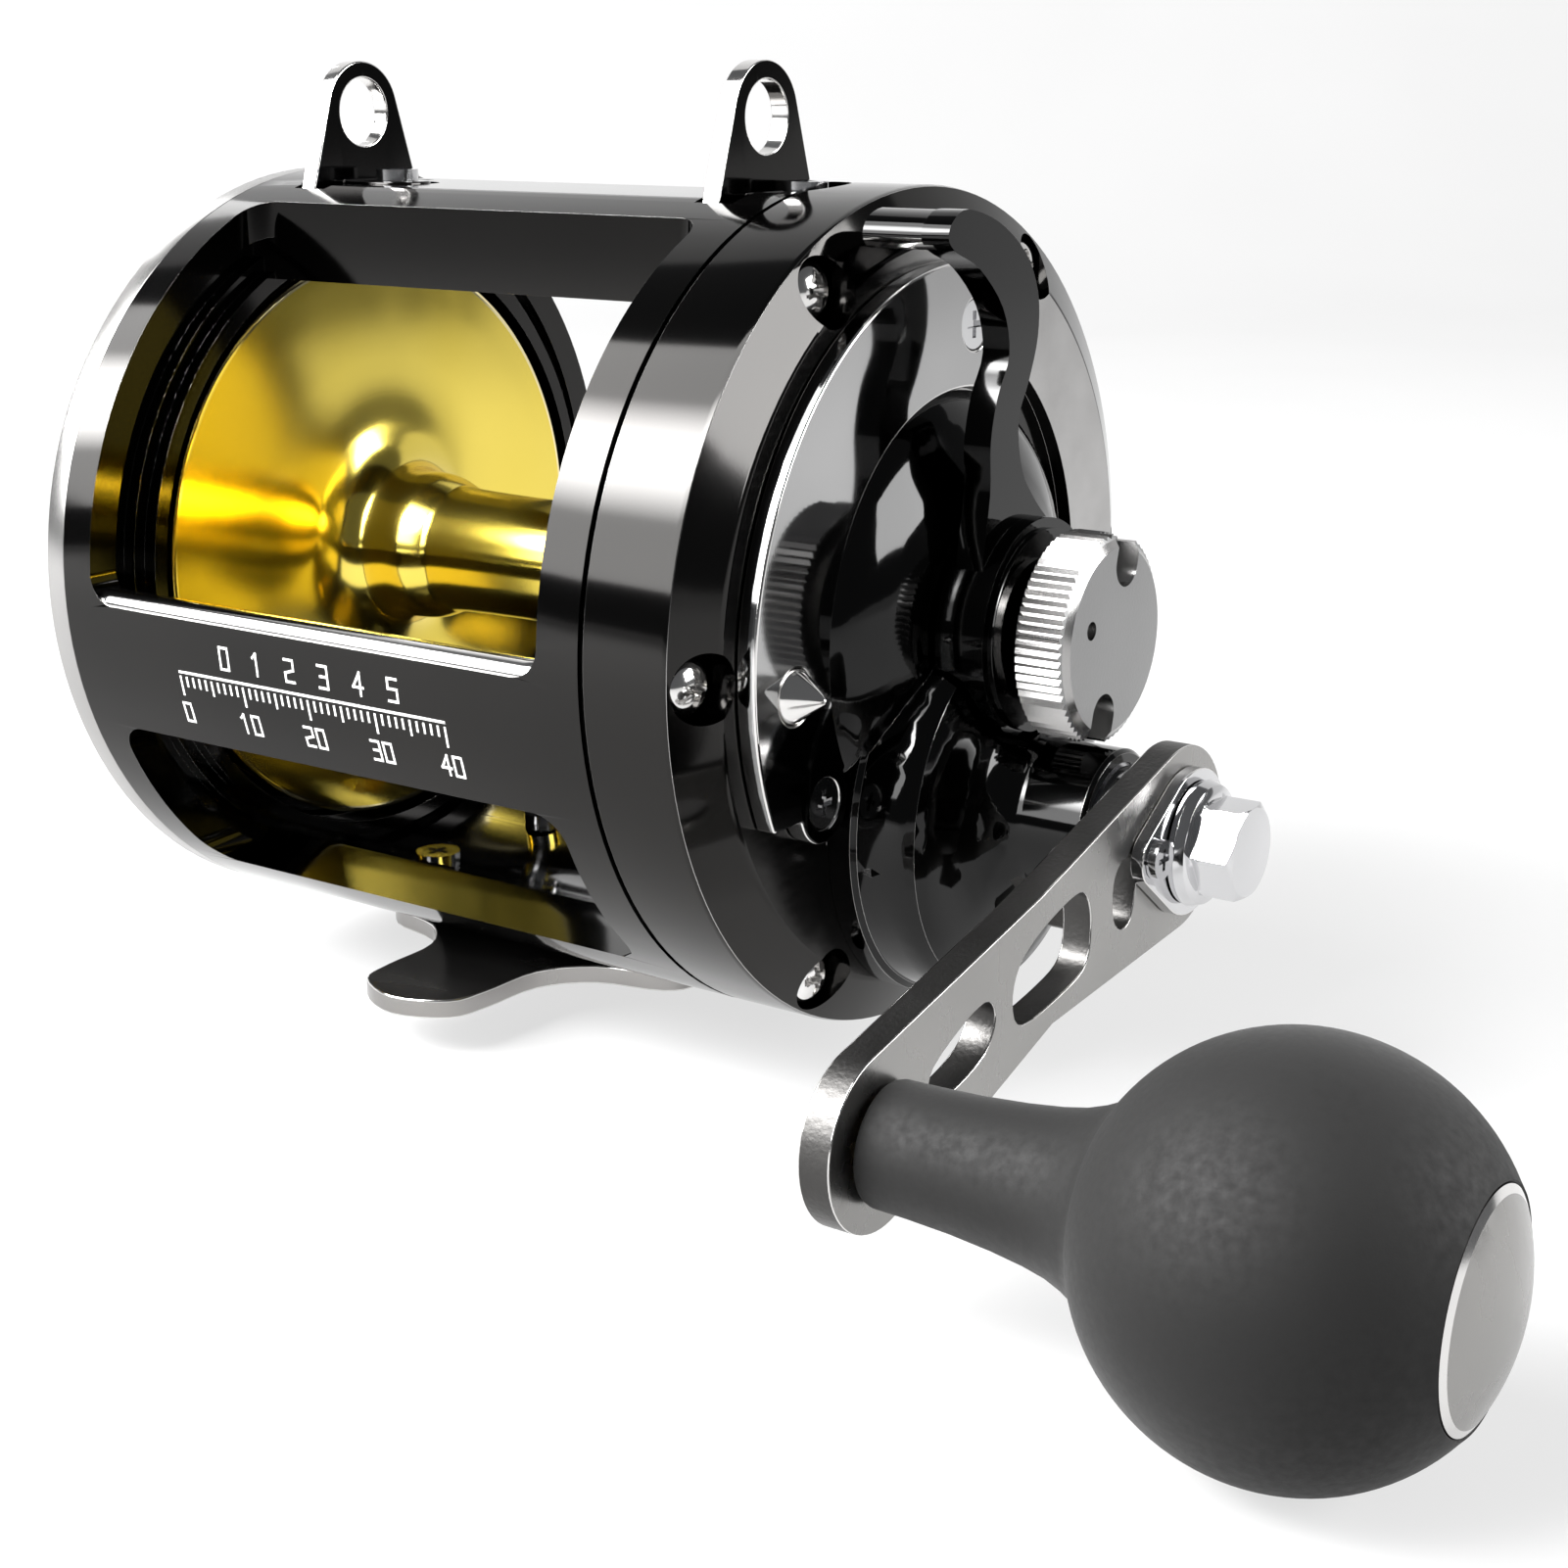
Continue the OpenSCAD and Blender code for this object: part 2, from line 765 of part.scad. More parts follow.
module preset_knob() {
    back = 26.6;
    front = 32.1;
    color(bright_steel)
        on_axis()
            difference() {
                union() {
                    intersection() {
                        plate_x(back, front - back)
                            polygon([
                                for (i = [0 : 143])
                                    let (r = i % 2 == 0 ? knob_r : knob_r - 0.35)
                                        r * [cos(2.5 * i), sin(2.5 * i)]
                            ]);
                        spin_x([
                            [back, 0], [back, knob_r - 0.6], [back + 0.6, knob_r + 1],
                            [front - 1.2, knob_r + 1], [front - 0.5, knob_r - 0.5],
                            [front, knob_r - 1.2], [front, 0]
                        ]);
                    }
                }
                rod_x(20, 29.3, 5.8);
                rod_x(20, 30.6, shaft_r + 0.02);
                for (a = [75, 255])
                    rotate([a, 0, 0]) {
                        translate([front - 2.4, 7.4, 0]) rod_x(0, 5, 2.2);
                        translate([front - 2.4, 7.4, -2.2]) cube([5, 5, 4.4]);
                    }
                rotate([160, 0, 0]) rod_x(front - 1.2, front + 1, 0.9, 5.2, 0);
            }
}

// ---- crank ----
dog_places = [[-11.6, -5.4], [11.6, -5.4]];
dog_nose_r = 9.25;

module main_gear() {
    color(brass)
        on_axis()
            difference() {
                translate([0, 0, -crank_drop]) plate_x(13, 3.8) gear_outline(main_teeth, 90);
                rod_x(5, 30, handle_shaft_r + 0.02, 0, -crank_drop);
                translate([0, 0, -crank_drop])
                    around_x(5, 9) rod_x(5, 30, 2.6);
            }
}

module handle_shaft() {
    color(bright_steel)
        on_axis()
            translate([0, 0, -crank_drop])
                spin_x([
                    [3.4, 0], [3.4, 5], [4.2, 5], [4.2, handle_shaft_r], [44.4, handle_shaft_r],
                    [44.8, handle_shaft_r - 0.4], [44.8, 0]
                ]);
}

module ratchet_wheel() {
    color(steel)
        on_axis()
            translate([0, 0, -crank_drop])
                difference() {
                    plate_x(4.3, 1.5) saw_outline(16, 9, 1.2, 0.12);
                    rod_x(0, 20, handle_shaft_r + 0.02);
                }
}

// One dog, drawn about its own post, with its nose on the ratchet's tip circle
module ratchet_dog(p) {
    aim = atan2(-p[1], -p[0]);
    reach = norm(p) - dog_nose_r;
    color(steel)
        on_axis()
            translate([0, p[0], p[1] - crank_drop])
                difference() {
                    plate_x(4.3, 1.5)
                        union() {
                            circle(2.4);
                            rotate(aim)
                                polygon([[0, -2.2], [0, 2.2], [reach - 0.5, 1.2], [reach, 0.4], [reach, -0.6]]);
                        }
                    rod_x(0, 20, 1.2 + fit);
                }
}

module ratchet_dog_front() {
    ratchet_dog(dog_places[0]);
}

module ratchet_dog_rear() {
    ratchet_dog(dog_places[1]);
}

module dog_posts() {
    color(bright_steel)
        on_axis()
            for (p = dog_places) {
                rod_x(3.9, 10.8, 1.2, p[0], p[1] - crank_drop);
                rod_x(3.4, 4.1, 2.2, p[0], p[1] - crank_drop);
            }
}

module dog_springs() {
    color(steel)
        on_axis()
            for (p = dog_places)
                coil_x(6.3, 9.2, 1.75, 0.25, 4, p[0], p[1] - crank_drop);
}

module shaft_bearing_inner() {
    color(steel)
        on_axis() bearing_x(8.4, 12.2, handle_shaft_r + 0.02, 6.95, 0, -crank_drop);
}

module shaft_bearing_outer() {
    color(steel)
        on_axis() bearing_x(28.5, 32.6, handle_shaft_r + 0.02, 6.45, 0, -crank_drop);
}

module handle_bush() {
    color(bright_steel)
        on_axis()
            translate([0, 0, -crank_drop])
                difference() {
                    spin_x([[33.4, 0], [33.4, 6.2], [34.4, 6.2], [34.8, 5.6], [36.8, 5.6], [36.8, 0]]);
                    rod_x(20, 40, handle_shaft_r + 0.02);
                }
}

// Outline of the arm, about the handle axis
module arm_outline() {
    end = [-arm_front, -arm_drop];
    waist = [-26, -4.6];
    union() {
        hull() {
            circle(9.2, $fn = 64);
            translate(waist) circle(6.5, $fn = 48);
        }
        hull() {
            translate(waist) circle(6.5, $fn = 48);
            translate(end) circle(7.8, $fn = 64);
        }
    }
}

arm_slots = [
    [[-12.4, 0.8], [-10.2, 0.9], [-9.2, -1], [-9.8, -4.8], [-11.6, -5.8], [-13.4, -4.4], [-13.7, -1]],
    [[-21.2, 0.1], [-18.9, -0.6], [-17.9, -3.4], [-18.6, -7], [-22.6, -8.5], [-30.2, -9.3],
     [-32.1, -6.8], [-31, -3.6], [-27, -1.4]],
    [[-39.4, -5.6], [-36.2, -5.3], [-35.1, -7.4], [-37, -9.9], [-42.4, -11.4], [-45.6, -10.6],
     [-45.2, -8.2]]
];

module handle_arm() {
    color(satin_silver)
        on_axis()
            translate([0, 0, -crank_drop])
                difference() {
                    plate_x(arm_x, arm_t)
                        difference() {
                            arm_outline();
                            for (slot = arm_slots) smooth_outline(slot);
                        }
                    rod_x(30, 45, handle_shaft_r + fit);
                    rod_x(30, 45, 2.5 + fit, -arm_front, -arm_drop);
                }
}

module arm_lock_plate() {
    color(bright_steel)
        on_axis()
            translate([0, 0, -crank_drop])
                difference() {
                    plate_x(arm_face_x + 0.1, 1.3)
                        hull() {
                            circle(7.2, $fn = 48);
                            translate([-8.2, 0.4]) circle(2.6, $fn = 32);
                        }
                    rod_x(30, 45, handle_shaft_r + fit);
                    rod_x(30, 45, 1.3, -8.3, 0.5);
                }
}

module lock_plate_screw() {
    color(bright_steel)
        on_axis()
            screw_x(arm_face_x + 1.45, 0.9, 1.9, 1.25, arm_face_x + 0.15, -8.3, 0.5 - crank_drop);
}

module handle_nut() {
    color(bright_steel)
        on_axis()
            translate([0, 0, -crank_drop])
                difference() {
                    union() {
                        spin_x([
                            [41.45, 0], [41.45, 6], [42.1, 6.2], [43, 5.8], [43.4, 4.6], [43.4, 0]
                        ]);
                        intersection() {
                            plate_x(43.3, 4) circle(5, $fn = 6);
                            spin_x([[43, 0], [43, 5.4], [46.6, 5.4], [47.3, 4.3], [47.3, 0]]);
                        }
                    }
                    rod_x(30, 45.2, handle_shaft_r + 0.02);
                }
}

// ---- grip ----
cap_r = 9.2;
cap_x = ball_x + sqrt(ball_r * ball_r - cap_r * cap_r);
spindle_r = 2.5;

module grip_spindle() {
    color(bright_steel)
        on_axis()
            translate([0, grip_y, grip_z])
                spin_x([
                    [arm_x + 0.1, 0], [arm_x + 0.1, spindle_r], [84.2, spindle_r], [84.2, 4.6],
                    [86, 4.6], [86.3, 4.2], [86.3, 0]
                ]);
}

module grip_bushes() {
    color(brass)
        on_axis() {
            tube_x(arm_face_x + 0.3, arm_face_x + 6, spindle_r + fit, 3.9, grip_y, grip_z);
            tube_x(78.2, 84, spindle_r + fit, 3.9, grip_y, grip_z);
        }
}

module handle_grip() {
    start = arm_face_x + 0.4;
    ball = [
        for (a = [156 : -6 : 36])
            [ball_x + ball_r * cos(a), ball_r * sin(a)]
    ];
    color(rubber)
        on_axis()
            translate([0, grip_y, grip_z])
                difference() {
                    spin_x(concat(
                        [[start, 0], [start, 4.9], [start + 0.5, 5.3], [46, 5.5], [52, 6],
                         [56.5, 6.4], [58.6, 6.6]],
                        ball,
                        [[cap_x, cap_r + 0.1], [cap_x, 0]]
                    ));
                    rod_x(30, 95, 3.95);
                    rod_x(84.05, 95, 5);
                    rod_x(cap_x - 1.6, 95, cap_r - 1);
                }
}

module grip_end_cap() {
    color(satin_silver)
        on_axis()
            translate([0, grip_y, grip_z])
                spin_x([
                    [cap_x - 1.5, 0], [cap_x - 1.5, cap_r - 1.05], [cap_x + fit, cap_r - 1.05],
                    [cap_x + fit, cap_r], [cap_x + 0.5, cap_r - 0.1], [cap_x + 1.2, 7.6],
                    [cap_x + 1.9, 5], [cap_x + 2.2, 2.4], [cap_x + 2.3, 0]
                ]);
}

// ---- lugs and foot ----
module harness_lug(x) {
    color(bright_steel)
        on_axis()
            difference() {
                union() {
                    plate_x(x - lug_t / 2, lug_t)
                        hull() {
                            translate([lug_y, lug_z]) circle(5.4, $fn = 64);
                            translate([lug_y - 8.2, lug_foot_z + fit]) square([16.4, 0.6]);
                        }
                    translate([0, 0, lug_foot_z + fit])
                        linear_extrude(1.5)
                            union() {
                                translate([x + 5.6, lug_y]) circle(3.6);
                                translate([x, lug_y - 3.6]) square([5.6, 7.2]);
                            }
                }
                rod_x(x - 5, x + 5, lug_hole_r, lug_y, lug_z);
                translate([x + 5.6, lug_y, 30]) cylinder(h = 20, r = 1.35);
            }
}

module harness_lug_left() {
    harness_lug(lug_left_x);
}

module harness_lug_right() {
    harness_lug(lug_right_x);
}

module lug_screws() {
    color(bright_steel)
        on_axis()
            for (x = [lug_left_x, lug_right_x])
                screw_z([x + 5.6, lug_y, lug_foot_z + 1.6], 2.3, 1.2, 1.25, 4.8);
}

module reel_foot() {
    half_l = foot_len / 2;
    half_w = foot_w / 2;
    color(dark_chrome)
            difference() {
                linear_extrude(foot_t - fit)
                    smooth_outline([
                        [half_w - 0.6, -half_l + 2.5], [half_w + 0.6, -half_l + 7], [half_w + 1.2, -17.5],
                        [12, -12.6], [19.5, -10.4], [21.6, -6], [21.6, 6], [19.5, 10.4], [12, 12.6],
                        [half_w + 1.2, 17.5], [half_w + 0.6, half_l - 7], [half_w - 0.6, half_l - 2.5],
                        [0, half_l], [-half_w + 0.6, half_l - 2.5], [-half_w - 0.6, half_l - 7],
                        [-half_w - 1.2, 17.5], [-12, 12.6], [-19.5, 10.4], [-21.6, 6], [-21.6, -6],
                        [-19.5, -10.4], [-12, -12.6], [-half_w - 1.2, -17.5],
                        [-half_w - 0.6, -half_l + 7], [-half_w + 0.6, -half_l + 2.5], [0, -half_l]
                    ]);
                for (x = [-13.5, 13.5])
                    for (y = [-9.5, 9.5])
                        translate([x, y, 0.6]) cylinder(h = 5, r = 1.55);
            }
}

module foot_screws() {
    color(bright_steel)
        on_axis()
            foot_screw_places()
                screw_z([0, 0, -34.85], 2.5, 1.7, 1.5, 7.3);
}

frame();
left_side_plate();
left_plate_screws();
left_bearing_cap();
shaft_bearing_left();
clicker_button();
clicker_pawl();
clicker_spring();
click_gear();
spool();
spool_bearing_left();
spool_bearing_right();
drag_washer();
drag_shaft();
drive_plate();
pinion_gear();
pinion_bearing();
handle_side_plate();
side_plate_screws();
quadrant_cover();
cover_screws();
strike_stop();
strike_stop_spring();
drive_housing();
housing_screws();
drag_lever();
thrust_ring();
belleville_washers();
preset_knob();
main_gear();
handle_shaft();
ratchet_wheel();
ratchet_dog_front();
ratchet_dog_rear();
dog_springs();
dog_posts();
shaft_bearing_inner();
shaft_bearing_outer();
handle_bush();
handle_arm();
arm_lock_plate();
lock_plate_screw();
handle_nut();
grip_spindle();
grip_bushes();
handle_grip();
grip_end_cap();
harness_lug_left();
harness_lug_right();
lug_screws();
reel_foot();
foot_screws();
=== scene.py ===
"""Looks of the trolling reel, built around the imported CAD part."""
import json
import math

import bmesh
import bpy
from mathutils import Matrix, Vector

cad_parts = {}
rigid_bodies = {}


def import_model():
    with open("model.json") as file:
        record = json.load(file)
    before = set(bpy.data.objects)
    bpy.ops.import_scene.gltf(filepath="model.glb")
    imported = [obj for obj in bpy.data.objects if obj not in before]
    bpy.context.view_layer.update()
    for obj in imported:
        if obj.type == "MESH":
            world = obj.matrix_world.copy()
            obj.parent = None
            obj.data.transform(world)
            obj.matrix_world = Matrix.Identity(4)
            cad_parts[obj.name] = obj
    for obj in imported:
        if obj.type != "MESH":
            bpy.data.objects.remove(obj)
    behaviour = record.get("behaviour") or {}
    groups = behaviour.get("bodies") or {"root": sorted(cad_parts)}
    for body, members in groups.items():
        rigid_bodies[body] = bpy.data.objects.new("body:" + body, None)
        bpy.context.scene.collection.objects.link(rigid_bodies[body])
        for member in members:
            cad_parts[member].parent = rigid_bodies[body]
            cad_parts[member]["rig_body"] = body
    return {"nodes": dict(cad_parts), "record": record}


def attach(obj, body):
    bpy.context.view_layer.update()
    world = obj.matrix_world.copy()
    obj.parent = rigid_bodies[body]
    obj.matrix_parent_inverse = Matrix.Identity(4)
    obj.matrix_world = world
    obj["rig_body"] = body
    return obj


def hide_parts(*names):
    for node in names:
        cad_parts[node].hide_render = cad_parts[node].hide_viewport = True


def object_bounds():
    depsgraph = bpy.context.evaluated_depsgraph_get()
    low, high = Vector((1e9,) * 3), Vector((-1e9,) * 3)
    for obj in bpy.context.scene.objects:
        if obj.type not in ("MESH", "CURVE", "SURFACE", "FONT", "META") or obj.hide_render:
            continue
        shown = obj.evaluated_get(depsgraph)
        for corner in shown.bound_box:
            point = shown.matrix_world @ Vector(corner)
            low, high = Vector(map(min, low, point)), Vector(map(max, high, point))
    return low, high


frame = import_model()
cad_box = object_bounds()
NODES = frame["nodes"]
SLOT_OF = {row["node"]: row["material_slot"] for row in frame["record"]["subparts"]}

# ---- sizes: mm, in axis coordinates (x from the seam, y and z from the spool axis) ----
MM = 0.001                          # metres in a millimetre
SEAM = Vector((34.65, 0.0, 43.0))   # seam of the handle side plate on the spool axis, part frame
AXIS_M = SEAM * MM                  # the same point in metres
BODY_R = 42.0                       # outside of the frame and its bars
CRANK_Z = -18.6                     # height of the crank sleeve
STOP_Y, STOP_Z = -28.6, -2.2        # line of the strike stop
PLATE_FACE_X = 12.4                 # machined flat of the handle side plate
SCREW_RING_R = 38.3                 # circle of the six screws of that plate
SCREW_ANGLES = [math.radians(60 * i) for i in range(6)]
SCREW_SEAT_X = 8.9                  # where the screw heads sit in their pockets
POCKET_REACH = 3.6                  # radius that holds a whole screw pocket
BALL_X, BALL_R = 75.6, 16.9         # ball of the grip
GRIP_Y, GRIP_Z = -53.1, -30.5       # line the grip turns about
MOUTH_R = 9.2                       # opening in the ball for the end cap
CAP_X = BALL_X + math.sqrt(BALL_R ** 2 - MOUTH_R ** 2)
CAP_R, CAP_RISE = 9.05, 2.2
WELD = 3e-6                         # metres, joins the vertices of neighbouring CAD faces
FLAT = math.radians(0.03)           # faces that bend less than this are one face
ROUND_FROM = math.radians(32)       # edges that bend more than this are rounded
POCKET_SHARP = math.radians(14)     # edges in a screw pocket that bend more than this stay crisp


def at(x, y, z):
    """Axis coordinates in mm to metres in the part frame."""
    return (SEAM + Vector((x, y, z))) * MM


def off_axis(c, y=0.0, z=0.0):
    """Distance of a point in axis mm from the line y, z."""
    return math.hypot(c.y - y, c.z - z)


# ---- material nodes ----
MIX_A, MIX_B, MIX_RESULT = 6, 7, 2  # colour sockets of the Mix node


def link(tree, a, b):
    tree.links.new(a, b)


def shader_node(tree, kind, **sockets):
    n = tree.nodes.new(kind)
    for name, value in sockets.items():
        n.inputs[name.replace("_", " ")].default_value = value
    return n


def start(name):
    m = bpy.data.materials.new(name)
    m.use_nodes = True
    tree = m.node_tree
    return m, tree, tree.nodes["Principled BSDF"]


def coords(tree, scale=(1, 1, 1), centre=(0, 0, 0)):
    """Object coordinates in millimetres, scaled, about a centre given in metres."""
    tc = tree.nodes.new("ShaderNodeTexCoord")
    mp = tree.nodes.new("ShaderNodeMapping")
    mp.inputs["Location"].default_value = [-c * s / MM for c, s in zip(centre, scale)]
    mp.inputs["Scale"].default_value = [s / MM for s in scale]
    link(tree, tc.outputs["Object"], mp.inputs["Vector"])
    return mp.outputs["Vector"]


def split(tree, vector):
    n = tree.nodes.new("ShaderNodeSeparateXYZ")
    link(tree, vector, n.inputs[0])
    return n.outputs


def joined(tree, **parts):
    n = tree.nodes.new("ShaderNodeCombineXYZ")
    for axis, value in parts.items():
        link(tree, value, n.inputs[axis])
    return n.outputs[0]


def noise(tree, vector, scale, detail=3.0, rough=0.55):
    n = shader_node(tree, "ShaderNodeTexNoise", Scale=scale, Detail=detail, Roughness=rough)
    link(tree, vector, n.inputs["Vector"])
    return n.outputs["Fac"]


def remap(tree, value, a, b, lo=0.3, hi=0.7):
    """Value between lo and hi spread from a to b."""
    n = shader_node(tree, "ShaderNodeMapRange", From_Min=lo, From_Max=hi, To_Min=a, To_Max=b)
    link(tree, value, n.inputs["Value"])
    return n.outputs["Result"]


def mix(tree, fac, a, b):
    """Colour between a and b, each an RGB triple or a socket."""
    n = tree.nodes.new("ShaderNodeMix")
    n.data_type = "RGBA"
    link(tree, fac, n.inputs["Factor"])
    for socket, c in ((n.inputs[MIX_A], a), (n.inputs[MIX_B], b)):
        if hasattr(c, "links"):
            link(tree, c, socket)
        else:
            socket.default_value = (*c, 1)
    return n.outputs[MIX_RESULT]


def bump(tree, height, strength, distance):
    n = shader_node(tree, "ShaderNodeBump", Strength=strength, Distance=distance)
    link(tree, height, n.inputs["Height"])
    return n


def turning_marks(tree):
    """Noise over length and distance from the spool axis, as a lathe tool leaves."""
    p = split(tree, coords(tree, centre=AXIS_M))
    out = tree.nodes.new("ShaderNodeVectorMath")
    out.operation = "LENGTH"
    link(tree, joined(tree, Y=p["Y"], Z=p["Z"]), out.inputs[0])
    return noise(tree, joined(tree, X=out.outputs["Value"], Y=p["X"]), 5.0, 2.0, 0.6)


# ---- materials ----
def metal(name, dark, light, rough, rough_span, grain, grain_mm=0.25, turned=0.0, coat=0.0,
          anisotropic=0.0, smear_scale=0.12):
    """A metal with a colour cloud, uneven polish and fine grain; grain and turned are mm deep."""
    m, tree, bsdf = start(name)
    v = coords(tree)
    cloud = noise(tree, v, 0.03, 2.0)
    link(tree, mix(tree, remap(tree, cloud, 0, 1), dark, light), bsdf.inputs["Base Color"])
    bsdf.inputs["Metallic"].default_value = 1.0
    smear = noise(tree, coords(tree, (0.25, 1, 0.6)), smear_scale, 3.0, 0.5)
    smoothest = max(0.02, rough - rough_span)
    link(tree, remap(tree, smear, smoothest, rough + rough_span, 0.25, 0.75),
         bsdf.inputs["Roughness"])
    relief = bump(tree, noise(tree, v, 1 / grain_mm, 2.0, 0.5), 1.0, grain * MM)
    if turned > 0:
        grooves = bump(tree, turning_marks(tree), 1.0, turned * MM)
        link(tree, relief.outputs[0], grooves.inputs["Normal"])
        relief = grooves
    link(tree, relief.outputs[0], bsdf.inputs["Normal"])
    bsdf.inputs["Coat Weight"].default_value = coat
    bsdf.inputs["Coat Roughness"].default_value = 0.06
    bsdf.inputs["Anisotropic"].default_value = anisotropic
    return m


def rubber():
    m, tree, bsdf = start("grip_rubber_matt")
    v = coords(tree)
    tone = remap(tree, noise(tree, v, 0.05, 4.0), 0, 1)
    link(tree, mix(tree, tone, (0.0036, 0.0035, 0.0034), (0.0052, 0.0051, 0.0050)),
         bsdf.inputs["Base Color"])
    link(tree, remap(tree, noise(tree, v, 1.2, 4.0), 0.62, 0.78), bsdf.inputs["Roughness"])
    fine = noise(tree, v, 6.0, 3.0, 0.6)
    link(tree, bump(tree, fine, 0.5, 0.012 * MM).outputs[0], bsdf.inputs["Normal"])
    bsdf.inputs["Sheen Weight"].default_value = 0.05
    bsdf.inputs["Specular IOR Level"].default_value = 0.22
    return m


def carbon():
    m, tree, bsdf = start("carbon_weave")
    v = coords(tree)
    weave = shader_node(tree, "ShaderNodeTexChecker", Scale=0.5)
    link(tree, v, weave.inputs["Vector"])
    link(tree, mix(tree, weave.outputs["Fac"], (0.02, 0.02, 0.022), (0.07, 0.07, 0.075)),
         bsdf.inputs["Base Color"])
    link(tree, remap(tree, noise(tree, v, 2.0), 0.4, 0.6), bsdf.inputs["Roughness"])
    return m


def plate_face():
    """Machined flat of the side plate, silver, with a painted reflection: bright on the rod side,
    dark towards the angler.
    """
    m, tree, bsdf = start("plate_face")
    v = coords(tree, centre=AXIS_M)
    # painted reflection: the silver face is darkened to near black towards the angler
    side = remap(tree, split(tree, v)["Y"], 0.0, 1.0, -12.0, 2.0)
    cloud = remap(tree, noise(tree, v, 0.08, 3.0), 0.0, 1.0)
    silver = mix(tree, cloud, (0.36, 0.355, 0.35), (0.46, 0.455, 0.45))
    link(tree, mix(tree, side, (0.03, 0.029, 0.028), silver), bsdf.inputs["Base Color"])
    bsdf.inputs["Metallic"].default_value = 1.0
    smear = noise(tree, coords(tree, (1, 0.2, 1)), 1.5, 4.0)
    link(tree, remap(tree, smear, 0.14, 0.24), bsdf.inputs["Roughness"])
    link(tree, bump(tree, noise(tree, v, 4.0, 2.0), 1.0, 0.0015 * MM).outputs[0],
         bsdf.inputs["Normal"])
    return m


def white_inlay():
    m, tree, bsdf = start("white_inlay")
    tone = remap(tree, noise(tree, coords(tree), 3.0), 0, 1)
    link(tree, mix(tree, tone, (0.55, 0.55, 0.54), (0.72, 0.72, 0.71)), bsdf.inputs["Base Color"])
    bsdf.inputs["Roughness"].default_value = 0.5
    return m


def pale_paper():
    m, tree, bsdf = start("pale_paper")
    link(tree, mix(tree, noise(tree, coords(tree), 0.01, 2.0), (0.13, 0.13, 0.13),
                   (0.15, 0.15, 0.15)), bsdf.inputs["Base Color"])
    bsdf.inputs["Roughness"].default_value = 0.9
    bsdf.inputs["Specular IOR Level"].default_value = 0.1
    bsdf.inputs["Emission Color"].default_value = (1, 1, 1, 1)
    bsdf.inputs["Emission Strength"].default_value = 0.68
    return m


MAT = {
    "black": metal("black_nickel", (0.028, 0.0275, 0.027), (0.032, 0.031, 0.030), 0.085, 0.006,
                   grain=0.0005),
    "gloss": metal("gloss_black", (0.014, 0.014, 0.014), (0.018, 0.018, 0.018), 0.06, 0.01,
                   grain=0.0006, coat=0.2),
    "edge": metal("polished_edge", (0.26, 0.255, 0.25), (0.42, 0.415, 0.41), 0.12, 0.04,
                  grain=0.0006),
    "trim": metal("bright_trim", (0.62, 0.61, 0.60), (0.80, 0.79, 0.78), 0.12, 0.05,
                  grain=0.001),
    "cast": metal("cast_black", (0.030, 0.029, 0.028), (0.055, 0.053, 0.051), 0.42, 0.08,
                  grain=0.05, grain_mm=0.32),
    "dark_chrome": metal("dark_chrome", (0.24, 0.235, 0.23), (0.36, 0.35, 0.34), 0.24, 0.06,
                         grain=0.003),
    "mirror": metal("mirror_cover", (0.34, 0.34, 0.34), (0.46, 0.46, 0.46), 0.06, 0.03,
                    grain=0.0006),
    "gold": metal("gold_anodised", (0.80, 0.62, 0.09), (0.88, 0.70, 0.14), 0.15, 0.02,
                  grain=0.0004, turned=0.0008, anisotropic=0.5),
    "gold_light": metal("gold_rim", (0.95, 0.82, 0.42), (0.98, 0.88, 0.52), 0.10, 0.02,
                        grain=0.0004),
    "bright": metal("polished_steel", (0.55, 0.55, 0.56), (0.72, 0.72, 0.73), 0.10, 0.05,
                    grain=0.0012),
    "satin": metal("satin_silver", (0.27, 0.265, 0.258), (0.34, 0.335, 0.326), 0.28, 0.04,
                   grain=0.004, grain_mm=0.18, smear_scale=0.3),
    "leathery": metal("grained_silver", (0.045, 0.044, 0.043), (0.08, 0.078, 0.076), 0.40, 0.06,
                      grain=0.045, grain_mm=0.5),
    "blasted": metal("blasted_silver", (0.24, 0.24, 0.24), (0.31, 0.31, 0.31), 0.34, 0.04,
                     grain=0.02, grain_mm=0.28),
    "ring": metal("brushed_ring", (0.34, 0.335, 0.33), (0.46, 0.455, 0.45), 0.22, 0.05,
                  grain=0.0015, turned=0.002),
    "knurl": metal("knurled_silver", (0.36, 0.355, 0.35), (0.46, 0.455, 0.45), 0.20, 0.03,
                   grain=0.002),
    "steel": metal("plain_steel", (0.42, 0.42, 0.43), (0.58, 0.58, 0.60), 0.25, 0.08,
                   grain=0.003),
    "brass": metal("yellow_brass", (0.62, 0.42, 0.14), (0.76, 0.56, 0.22), 0.22, 0.08,
                   grain=0.003),
    "plate_face": plate_face(),
    "rubber": rubber(),
    "carbon": carbon(),
    "marks": white_inlay(),
    "paper": pale_paper(),
}
# finish of the CAD nodes that keep their own mesh, by slot
FINISH = {
    "bright_steel": "bright", "plain_steel": "steel", "yellow_brass": "brass",
    "carbon_fibre": "carbon", "black_plastic": "gloss",
}
FINISH_OF_NODE = {"thrust_ring": "trim"}  # differs from the rest of its slot


# ---- making pieces ----
def placed(name, me):
    ob = bpy.data.objects.new(name, me)
    bpy.context.scene.collection.objects.link(ob)
    return ob


def new_object(name, verts, faces):
    me = bpy.data.meshes.new(name)
    me.from_pydata(verts, [], faces)
    me.validate()
    me.update()
    return placed(name, me)


def applied(ob):
    """Bakes the modifiers of ob into its mesh."""
    dg = bpy.context.evaluated_depsgraph_get()
    me = bpy.data.meshes.new_from_object(ob.evaluated_get(dg))
    ob.modifiers.clear()
    ob.data = me


